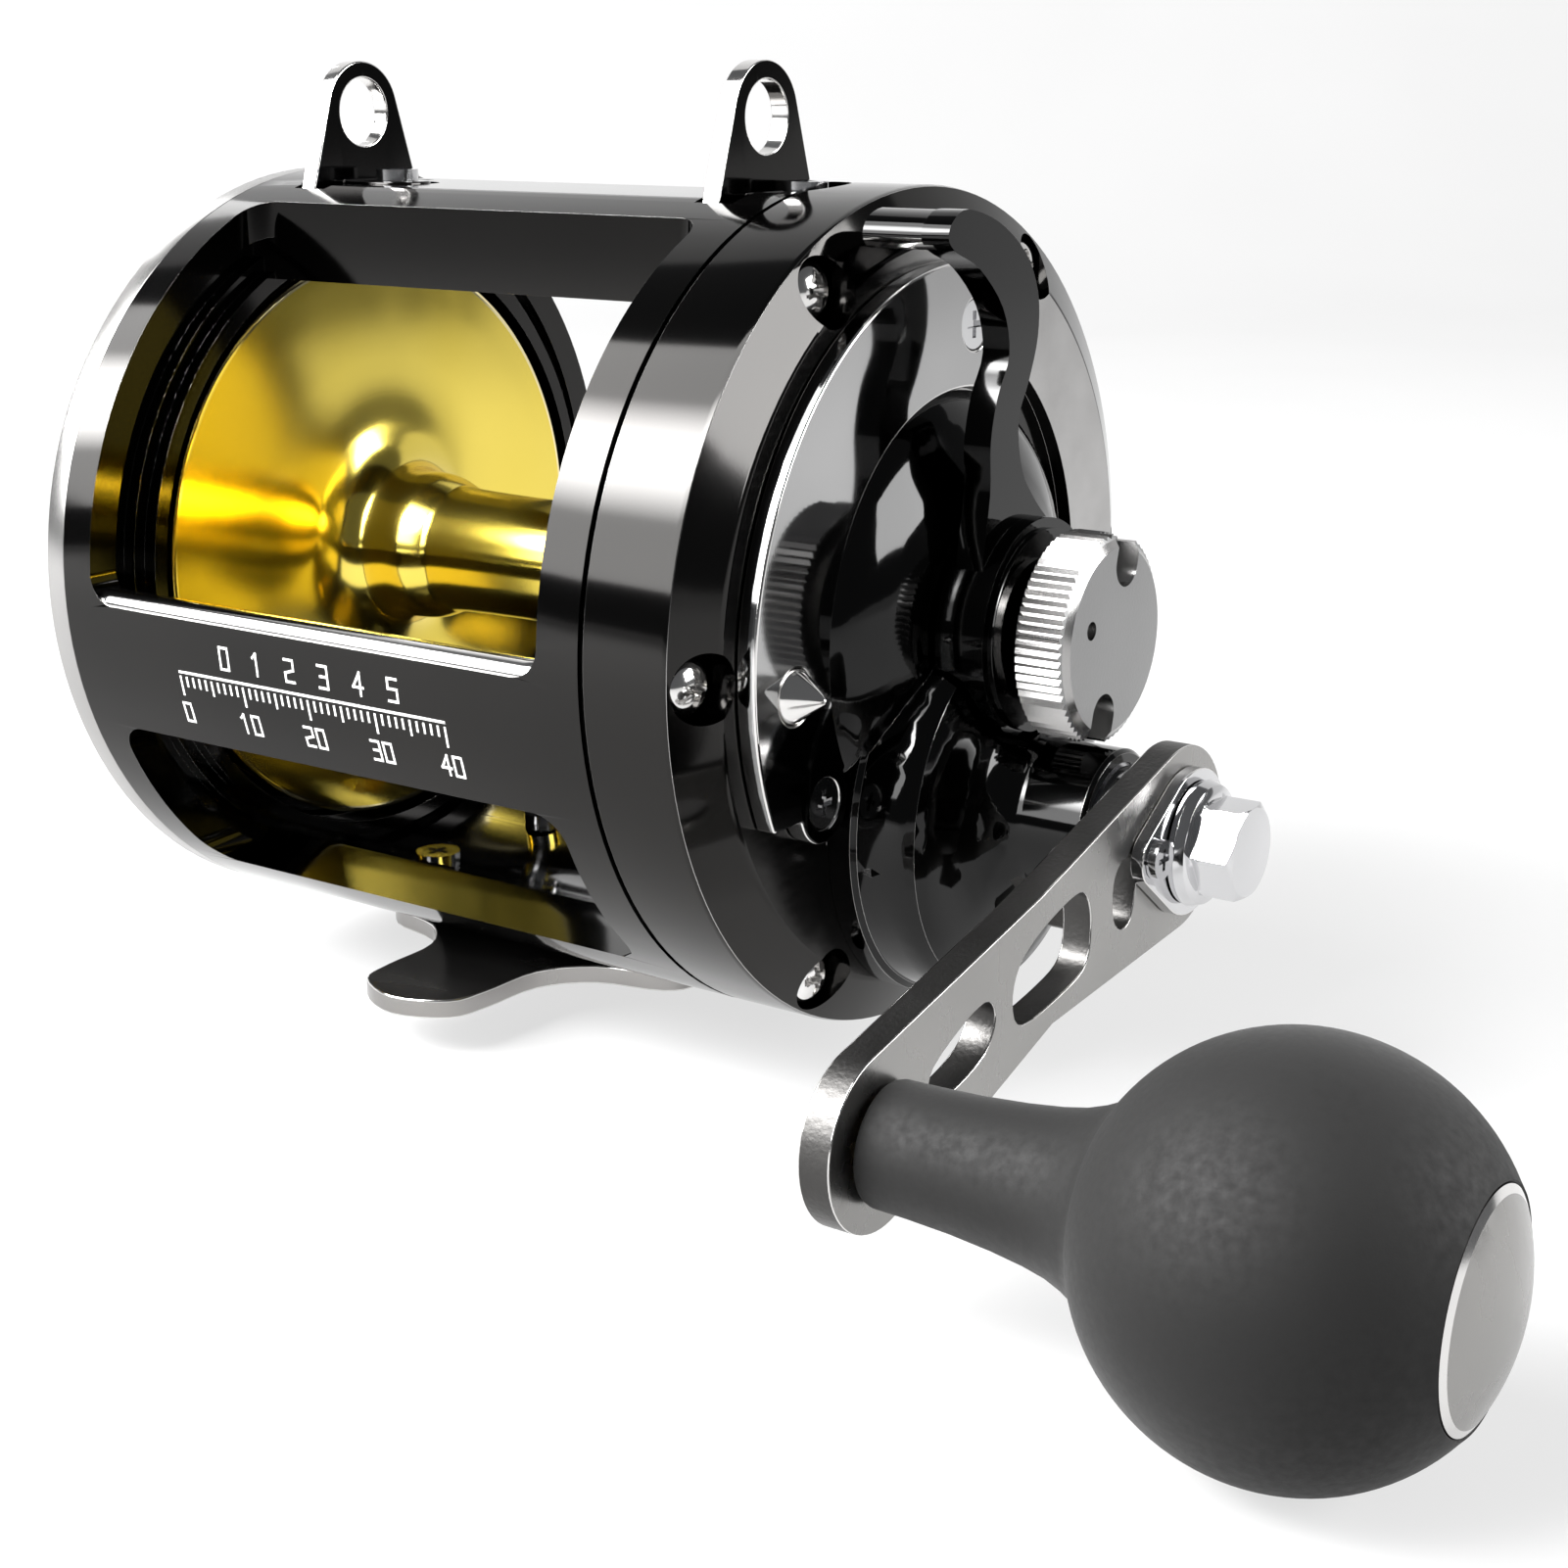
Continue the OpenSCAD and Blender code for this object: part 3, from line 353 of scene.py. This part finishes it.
def smooth(ob, angle):
    """Smooth shading, sharp at the edges that bend more than angle, in degrees."""
    me = ob.data
    me.polygons.foreach_set("use_smooth", [True] * len(me.polygons))
    me.set_sharp_from_angle(angle=math.radians(angle))
    me.update()


def finish_piece(ob, node):
    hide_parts(node)
    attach(ob, NODES[node]["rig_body"])


def give_materials(ob, *keys):
    for key in keys:
        ob.data.materials.append(MAT[key])


def paint(ob, key, test):
    """Gives the faces that pass test(centre in axis mm, normal) another material."""
    me = ob.data
    names = [m.name for m in me.materials]
    if MAT[key].name not in names:
        me.materials.append(MAT[key])
        names.append(MAT[key].name)
    index = names.index(MAT[key].name)
    for f in me.polygons:
        if test(f.center / MM - SEAM, f.normal):
            f.material_index = index


def middle(e):
    """Middle of an edge in axis mm."""
    return (e.verts[0].co + e.verts[1].co) / 2 / MM - SEAM


def in_screw_pocket(c):
    """True near the six screw pockets of the handle side plate, c in axis mm."""
    return c.x > 5 and any(off_axis(c, -SCREW_RING_R * math.cos(a), SCREW_RING_R * math.sin(a))
                           < POCKET_REACH for a in SCREW_ANGLES)


def crisp(ob, where):
    """Keeps the edges sharp in the region where(middle in axis mm) is true."""
    bm = bmesh.new()
    bm.from_mesh(ob.data)
    for e in bm.edges:
        if where(middle(e)) and e.calc_face_angle(0.0) > POCKET_SHARP:
            e.smooth = False
    bm.to_mesh(ob.data)
    bm.free()


def softened(node, width, main, edge, segments, keep):
    """A copy of a CAD node with its edges rounded, except where keep(middle of edge) is true."""
    bm = bmesh.new()
    bm.from_mesh(NODES[node].data)
    bmesh.ops.remove_doubles(bm, verts=bm.verts[:], dist=WELD)
    bmesh.ops.dissolve_limit(bm, angle_limit=FLAT, verts=bm.verts[:], edges=bm.edges[:])
    weight = bm.edges.layers.float.new("bevel_weight_edge")
    for e in bm.edges:
        kept = keep is not None and keep(middle(e))
        e[weight] = 1.0 if e.calc_face_angle(0.0) > ROUND_FROM and not kept else 0.0
    for f in bm.faces:
        f.material_index = 0
    me = bpy.data.meshes.new(node + "_finished")
    bm.to_mesh(me)
    bm.free()
    ob = placed(node + "_finished", me)
    give_materials(ob, main, edge)
    rounding = ob.modifiers.new("rounding", "BEVEL")
    rounding.width = width * MM
    rounding.segments = segments
    rounding.limit_method = "WEIGHT"
    rounding.use_clamp_overlap = True
    rounding.miter_outer = "MITER_ARC"
    rounding.material = 1
    applied(ob)
    smooth(ob, 40)
    if keep:
        crisp(ob, keep)
    even = ob.modifiers.new("even_shading", "WEIGHTED_NORMAL")
    even.weight = 100
    even.keep_sharp = True
    applied(ob)
    return ob


def unrounded(node, main, edge):
    """A copy of a CAD node with its edges as they are, for the knurled knob."""
    src = NODES[node].data
    ob = new_object(node + "_finished", [v.co.copy() for v in src.vertices],
                    [list(f.vertices) for f in src.polygons])
    bm = bmesh.new()
    bm.from_mesh(ob.data)
    bmesh.ops.remove_doubles(bm, verts=bm.verts[:], dist=WELD)
    bm.to_mesh(ob.data)
    bm.free()
    give_materials(ob, main, edge)
    smooth(ob, 30)
    return ob


def lathe(name, profile, y, z, turns, loop=False):
    """Solid of revolution about the line y, z from (x, radius) points, in axis mm."""
    verts, faces = [], []
    for x, r in profile:
        for k in range(turns):
            a = 2 * math.pi * k / turns
            verts.append(at(x, y + r * math.cos(a), z + r * math.sin(a)))
    rows = len(profile)
    for i in range(rows if loop else rows - 1):
        n = (i + 1) % rows
        for k in range(turns):
            j = (k + 1) % turns
            faces.append((i * turns + k, n * turns + k, n * turns + j, i * turns + j))
    ob = new_object(name, verts, faces)
    bm = bmesh.new()
    bm.from_mesh(ob.data)
    bmesh.ops.remove_doubles(bm, verts=bm.verts[:], dist=1e-7)
    bmesh.ops.holes_fill(bm, edges=bm.edges[:])
    bmesh.ops.recalc_face_normals(bm, faces=bm.faces[:])
    bm.to_mesh(ob.data)
    bm.free()
    smooth(ob, 40)
    return ob


# ---- CAD nodes with rounded edges: width of the rounding, main material, edge material ----
ROUNDED = {
    "frame": (0.35, "black", "edge"),
    "left_side_plate": (0.3, "black", "trim"),
    "handle_side_plate": (0.3, "black", "edge"),
    "quadrant_cover": (0.45, "mirror", "trim"),
    "drive_housing": (0.3, "gloss", "edge"),
    "drag_lever": (1.25, "gloss", "gloss"),
    "harness_lug_left": (0.3, "black", "trim"),
    "harness_lug_right": (0.3, "black", "trim"),
    "left_bearing_cap": (0.2, "bright", "trim"),
    "handle_arm": (0.45, "satin", "trim"),
    "arm_lock_plate": (0.25, "bright", "trim"),
    "handle_nut": (0.25, "bright", "trim"),
    "reel_foot": (0.6, "dark_chrome", "trim"),
    "preset_knob": (0.0, "knurl", "trim"),
}
SEGMENTS = {"drag_lever": 5}                        # of the rounding, 2 elsewhere
UNROUNDED = {"handle_side_plate": in_screw_pocket}  # regions left as they are
REBUILT = ("handle_grip", "grip_end_cap", "spool", "strike_stop", "side_plate_screws")

piece = {}
for name, (width, main, edge) in ROUNDED.items():
    if width > 0:
        ob = softened(name, width, main, edge, SEGMENTS.get(name, 2), UNROUNDED.get(name))
    else:
        ob = unrounded(name, main, edge)
    piece[name] = ob
    finish_piece(ob, name)
for name, src in NODES.items():
    if name not in ROUNDED and name not in REBUILT:
        key = FINISH_OF_NODE.get(name) or FINISH[SLOT_OF[name]]
        for slot in src.material_slots:
            slot.material = MAT[key]

# machined flat: silver with a painted reflection that darkens it towards the angler
paint(piece["handle_side_plate"], "plate_face",
      lambda c, n: n.x > 0.97 and abs(c.x - PLATE_FACE_X) < 0.25)
paint(piece["frame"], "trim",   # upper edge of the front bar
      lambda c, n: n.z > 0.5 and abs(c.z + 1.2) < 1.2 and c.y < -36 and -66 < c.x < -4)
for side in ("frame", "handle_side_plate"):   # both sides of the seam, painted darker as painted shade of the seam groove
    paint(piece[side], "gloss", lambda c, n: abs(c.x) < 0.45 and off_axis(c) > 41)
paint(piece["left_side_plate"], "ring", lambda c, n: c.x < -69.3 and off_axis(c) > 39.5)
for lug in ("harness_lug_left", "harness_lug_right"):   # bright rims, black feet
    paint(piece[lug], "trim", lambda c, n: abs(n.x) < 0.5 and c.z > 41)
    paint(piece[lug], "black", lambda c, n: c.z <= 41.1)
paint(piece["quadrant_cover"], "gloss", lambda c, n: n.x > 0.9 and c.z < -6)
paint(piece["drive_housing"], "cast",   # web under the crank sleeve
      lambda c, n: 22.6 < c.x < 32.5 and c.z < CRANK_Z - 3 and abs(c.y) < 6.5
      and off_axis(c, 0, CRANK_Z) > 7.95 and abs(n.x) < 0.6)
paint(piece["drag_lever"], "trim",   # underside of the thumb pad, painted bright silver as a painted reflection on the black lever
      lambda c, n: c.x < 18.7 and c.z > 33 and n.z < -0.2 and n.y < 0.3)
paint(piece["preset_knob"], "blasted", lambda c, n: n.x > 0.9)
paint(piece["handle_arm"], "leathery", lambda c, n: abs(n.x) < 0.3)
paint(piece["handle_arm"], "satin", lambda c, n: abs(n.x) > 0.9)


# ---- grip ----
def grip():
    ball = []
    for deg in range(150, 34, -3):
        a = math.radians(deg)
        ball.append((BALL_X + BALL_R * math.cos(a), BALL_R * math.sin(a)))
    neck = [(40.35, 3.95), (40.35, 4.9), (40.5, 5.2), (40.9, 5.35), (44, 5.42), (48, 5.6),
            (52, 5.95), (55, 6.35), (57.2, 6.8), (59, 7.45), (60.2, 8.05)]
    mouth = [(CAP_X - 0.15, 9.5), (CAP_X, 9.3), (CAP_X - 0.1, 9.15), (CAP_X - 1.4, 9.1),
             (CAP_X - 1.4, 3.95)]
    ob = lathe("handle_grip_finished", neck + ball + mouth, GRIP_Y, GRIP_Z, 160)
    give_materials(ob, "rubber")
    finish_piece(ob, "handle_grip")


def end_cap():
    """Domed cap in the mouth of the ball."""
    steps = 14
    radii = [CAP_R * i / steps for i in range(steps, 0, -1)]
    back = [(CAP_X - 1.3, 0.01), (CAP_X - 1.3, CAP_R), (CAP_X - 0.1, CAP_R)]
    dome = [(CAP_X + CAP_RISE * (1 - (r / CAP_R) ** 2.2), r) for r in radii]
    ob = lathe("grip_end_cap_finished", back + dome + [(CAP_X + CAP_RISE, 0.01)],
               GRIP_Y, GRIP_Z, 96)
    give_materials(ob, "satin")
    paint(ob, "trim", lambda c, n: c.x < CAP_X + 0.35)
    finish_piece(ob, "grip_end_cap")


grip()
end_cap()


# ---- spool and strike stop, turned smooth ----
def eased(points, rounds=3):
    """Corner-cutting of an open (x, radius) line, ends kept."""
    for _ in range(rounds):
        out = [points[0]]
        for (x0, r0), (x1, r1) in zip(points, points[1:]):
            out += [(0.75 * x0 + 0.25 * x1, 0.75 * r0 + 0.25 * r1),
                    (0.25 * x0 + 0.75 * x1, 0.25 * r0 + 0.75 * r1)]
        points = out + [points[-1]]
    return points


def turned_spool():
    waist = eased([(-63.35, 32.1), (-62.9, 26), (-62.4, 14), (-61.1, 10.6), (-59.7, 9),
                   (-57.9, 8.4), (-54.3, 8.4), (-52.1, 7.6), (-50.3, 6.8), (-16, 6.8),
                   (-12, 7.8), (-9.4, 8.6), (-8.2, 11), (-7.6, 16), (-6.3, 26), (-5.85, 32.1)])
    left = [(-67.2, 5.5), (-67.2, 7), (-65.6, 7), (-65.6, 9.8), (-64.7, 10.6), (-64.7, 32.2),
            (-64.55, 32.42), (-64.3, 32.5), (-63.7, 32.5), (-63.45, 32.38)]
    right = [(-5.7, 32.38), (-5.5, 32.5), (-4.75, 32.5), (-4.55, 32.4), (-4.5, 32.2),
             (-4.5, 29), (-5.3, 29), (-5.3, 5.5), (-9.2, 5.5), (-9.2, 4.6), (-62.6, 4.6),
             (-62.6, 5.5)]
    ob = lathe("spool_finished", left + waist + right, 0, 0, 192, loop=True)
    give_materials(ob, "gold")
    paint(ob, "gold_light", lambda c, n: off_axis(c) > 31.9)
    finish_piece(ob, "spool")


def turned_stop():
    cone = [(5, 0.01), (5, 1.2), (8.6, 1.2), (8.6, 2.4), (8.8, 2.6), (14.3, 2.6), (14.7, 2.5),
            (15.1, 2.25), (17.5, 0.5), (17.8, 0.25), (17.9, 0.01)]
    ob = lathe("strike_stop_finished", cone, STOP_Y, STOP_Z, 64)
    give_materials(ob, "trim")
    finish_piece(ob, "strike_stop")


turned_spool()
turned_stop()


def bar_lip():
    """Polished rounded lip along the upper edge of the front bar."""
    y, z, half_y, half_z = -40.15, -0.75, 1.8, 1.45
    stations = [(-65.0, 0.6), (-64.4, 0.95), (-63.0, 1.0), (-7.0, 1.0), (-5.6, 0.95), (-5.0, 0.6)]
    steps = 20
    verts, faces = [], []
    for x, k in stations:
        for i in range(steps):
            a = 2 * math.pi * i / steps
            verts.append(at(x, y + half_y * k * math.cos(a), z + half_z * k * math.sin(a)))
    for i in range(len(stations) - 1):
        b = i * steps
        for k in range(steps):
            j = (k + 1) % steps
            faces.append((b + k, b + j, b + steps + j, b + steps + k))
    faces.append(tuple(range(steps - 1, -1, -1)))
    faces.append(tuple((len(stations) - 1) * steps + k for k in range(steps)))
    ob = new_object("frame_bar_lip", verts, faces)
    give_materials(ob, "trim")
    smooth(ob, 40)
    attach(ob, "reel_body")


bar_lip()


# ---- dome-head screws in the side plate pockets ----
def cross_dome(cx, cy, cz, r, height, arm):
    """Dome head along +x with a cross recess of arms this wide, as one closed shell."""
    rings, spokes, under = 14, 48, 0.3

    def surface(u, v):
        q = math.hypot(u, v) / r
        x = height * math.sqrt(max(0.0, 1 - q * q * 0.92))
        in_cross = min(abs(u), abs(v)) < arm * 0.5 and max(abs(u), abs(v)) < r * 0.62
        return x - (height * 0.55 if in_cross else 0.0)

    turns = [2 * math.pi * k / spokes for k in range(spokes)]
    verts, faces = [at(cx + surface(0, 0), cy, cz)], []
    for i in range(1, rings + 1):
        for a in turns:
            u, v = r * i / rings * math.cos(a), r * i / rings * math.sin(a)
            verts.append(at(cx + surface(u, v), cy + u, cz + v))
    for a in turns:
        verts.append(at(cx - under, cy + r * math.cos(a), cz + r * math.sin(a)))
    for k in range(spokes):
        j = (k + 1) % spokes
        faces.append((0, 1 + k, 1 + j))
        for i in range(rings):
            b = 1 + i * spokes
            faces.append((b + k, b + spokes + k, b + spokes + j, b + j))
    last = 1 + rings * spokes
    faces.append(tuple(last + k for k in range(spokes - 1, -1, -1)))
    return verts, faces


def side_screws():
    verts, faces = [], []
    for a in SCREW_ANGLES:
        v, f = cross_dome(SCREW_SEAT_X, -SCREW_RING_R * math.cos(a), SCREW_RING_R * math.sin(a),
                          r=2.75, height=1.9, arm=0.75)
        base = len(verts)
        verts += v
        faces += [tuple(base + k for k in q) for q in f]
    ob = new_object("side_plate_screws_finished", verts, faces)
    give_materials(ob, "trim")
    smooth(ob, 28)
    finish_piece(ob, "side_plate_screws")


side_screws()


# ---- graduated marks on the front bar ----
def on_bar(x, deg, lift):
    """Point on the bar at x, deg above the horizontal, lifted off it by lift mm."""
    a = math.radians(deg)
    r = BODY_R + lift
    return at(x, -r * math.cos(a), r * math.sin(a))


def strokes(name, lines, width):
    """Thin raised inlay strokes laid on the bar: each line is a list of (x, degrees) points."""
    sunk, raised = -0.1, 0.04
    box = ((4, 5, 6, 7), (0, 3, 2, 1), (0, 1, 5, 4), (1, 2, 6, 5), (2, 3, 7, 6), (3, 0, 4, 7))
    verts, faces = [], []
    for pts in lines:
        for (x0, a0), (x1, a1) in zip(pts, pts[1:]):
            dx, da = x1 - x0, math.radians(a1 - a0) * BODY_R
            length = math.hypot(dx, da)
            ux, ua = dx / length * width / 2, da / length * width / 2
            base = len(verts)
            for lift in (sunk, raised):
                for sx, sa in ((-1, -1), (1, -1), (1, 1), (-1, 1)):
                    ex, ea = (x1, a1) if sx > 0 else (x0, a0)
                    px = ex + sx * ux - sa * ua
                    pa = ea + math.degrees((sx * ua + sa * ux) / BODY_R)
                    verts.append(on_bar(px, pa, lift))
            faces += [tuple(base + k for k in q) for q in box]
    ob = new_object(name, verts, faces)
    give_materials(ob, "marks")
    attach(ob, "reel_body")


# strokes of each digit, in a box one wide and two high
DIGITS = {
    "0": [[(0, 0), (1, 0), (1, 2), (0, 2), (0, 0)]],
    "1": [[(0.5, 0), (0.5, 2)], [(0.5, 2), (0.1, 1.6)]],
    "2": [[(0, 2), (1, 2), (1, 1.1), (0, 0.8), (0, 0), (1, 0)]],
    "3": [[(0, 2), (1, 2), (1, 0), (0, 0)], [(0.2, 1.05), (1, 1.05)]],
    "4": [[(0.8, 0), (0.8, 2), (0, 0.7), (1.1, 0.7)]],
    "5": [[(1, 2), (0, 2), (0, 1.1), (1, 1.1), (1, 0), (0, 0)]],
}


def numeral(text, x, deg, height):
    """Strokes of a small number centred at x, standing on the line at deg."""
    w = height * 0.5
    step = w * 1.55
    left = x - (len(text) * step - (step - w)) / 2
    out = []
    for i, ch in enumerate(text):
        for line in DIGITS[ch]:
            out.append([(left + i * step + px * w,
                         deg + math.degrees(py * height / 2 / BODY_R)) for px, py in line])
    return out


def bar_marks():
    x0, x1, divisions = -53.0, -16.8, 40
    line_deg, tick_deg = -8.9, -9.7
    lines = [[(x0, line_deg), (x1, line_deg)]]
    for i in range(divisions + 1):
        x = x0 + (x1 - x0) * i / divisions
        tall = 2.6 if i % 10 == 0 else (1.9 if i % 5 == 0 else 1.2)
        lines.append([(x, tick_deg), (x, tick_deg - tall)])
        if i % 10 == 0:
            lines += numeral(str(i), x, -16.6, 2.1)
    for i in range(6):
        lines += numeral(str(i), -46.0 + i * 4.6, -7.3, 2.3)
    strokes("bar_scale", lines, 0.26)


bar_marks()


# ---- studio, in metres ----
def stage_sweep():
    """Pale floor that curves up into a backdrop behind the object."""
    floor_z = cad_box[0][2]
    near, bend_at, bend_r, top, half_width = -1.2, 0.75, 0.35, 1.6, 2.5
    profile = [(near, 0.0)]
    for deg in range(0, 91, 6):
        a = math.radians(deg)
        profile.append((bend_at + bend_r * math.sin(a), bend_r - bend_r * math.cos(a)))
    profile.append((bend_at + bend_r, top))
    turn = Matrix.Rotation(math.radians(34.7), 3, "Z")  # square to the camera
    verts, faces = [], []
    for u, h in profile:
        for w in (-half_width, half_width):
            p = turn @ Vector((w, u, 0))
            verts.append((p.x, p.y, floor_z + h))
    for i in range(len(profile) - 1):
        faces.append((2 * i, 2 * i + 1, 2 * i + 3, 2 * i + 2))
    ob = new_object("studio_floor", verts, faces)
    smooth(ob, 80)
    give_materials(ob, "paper")


def bright_bar(light, core):
    """Brightens a bar across the middle of a light by core and dims the rest."""
    light.use_nodes = True
    tree = light.node_tree
    geo = tree.nodes.new("ShaderNodeNewGeometry")
    off = tree.nodes.new("ShaderNodeMath")
    off.operation = "SUBTRACT"
    off.inputs[1].default_value = 0.5
    link(tree, split(tree, geo.outputs["Parametric"])["Y"], off.inputs[0])
    away = tree.nodes.new("ShaderNodeMath")
    away.operation = "ABSOLUTE"
    link(tree, off.outputs[0], away.inputs[0])
    link(tree, remap(tree, away.outputs[0], 1.0 + core, 0.55, 0.03, 0.22),
         tree.nodes["Emission"].inputs["Strength"])


def softbox(name, place, target, size_x, size_y, power, core=0.0, level=False):
    """Rectangular light; core above 0 gives it a bright bar, level keeps its width along X."""
    light = bpy.data.lights.new(name, "AREA")
    light.shape = "RECTANGLE"
    light.size, light.size_y = size_x, size_y
    light.energy = power
    if core > 0:
        bright_bar(light, core)
    ob = bpy.data.objects.new(name, light)
    ob.location = place
    if level:
        out = (Vector(place) - Vector(target)) * Vector((0, 1, 1))
        out.normalize()
        up = out.cross(Vector((1, 0, 0)))
        ob.rotation_euler = Matrix(((1, 0, 0), up, out)).transposed().to_euler()
    else:
        ob.rotation_euler = (Vector(target) - Vector(place)).to_track_quat("-Z", "Y").to_euler()
    bpy.context.scene.collection.objects.link(ob)


def studio():
    stage_sweep()
    aim = Vector((0.03, -0.02, 0.045))

    def far(direction, distance):
        return aim + Vector(direction).normalized() * distance

    softbox("left_box", (-0.45, -0.467, 0.495), (-0.45, 0.0, 0.043), 0.9, 0.86, 32.0,
            core=3.0, level=True)
    softbox("right_box", far((0.85, 0.41, 0.36), 0.85), aim, 0.56, 0.34, 9.0)
    softbox("rim_box", far((-0.9, 0.35, 0.35), 0.9), aim, 0.25, 0.5, 1.2)
    world = bpy.data.worlds.new("studio_world")
    world.use_nodes = True
    bg = world.node_tree.nodes["Background"]
    bg.inputs["Color"].default_value = (0.95, 0.97, 1.0, 1)
    bg.inputs["Strength"].default_value = 0.12
    bpy.context.scene.world = world


def camera():
    """Camera at the photograph's viewing angle: position and three directions, in metres."""
    cam = bpy.data.cameras.new("photo_camera")
    cam.lens = 56.8
    cam.sensor_width = 36
    cam.sensor_height = 36
    cam.clip_start = 0.01
    ob = bpy.data.objects.new("photo_camera", cam)
    right = Vector((0.82187, 0.56968, -0.0001))
    up = Vector((-0.15746, 0.22739, 0.96099))
    back = -Vector((-0.54748, 0.78979, -0.27659))
    ob.matrix_world = Matrix((
        (right.x, up.x, back.x, 0.17278),
        (right.y, up.y, back.y, -0.20875),
        (right.z, up.z, back.z, 0.09543),
        (0, 0, 0, 1),
    ))
    bpy.context.scene.collection.objects.link(ob)
    bpy.context.scene.camera = ob


studio()
camera()
bpy.context.scene.view_settings.view_transform = "Standard"
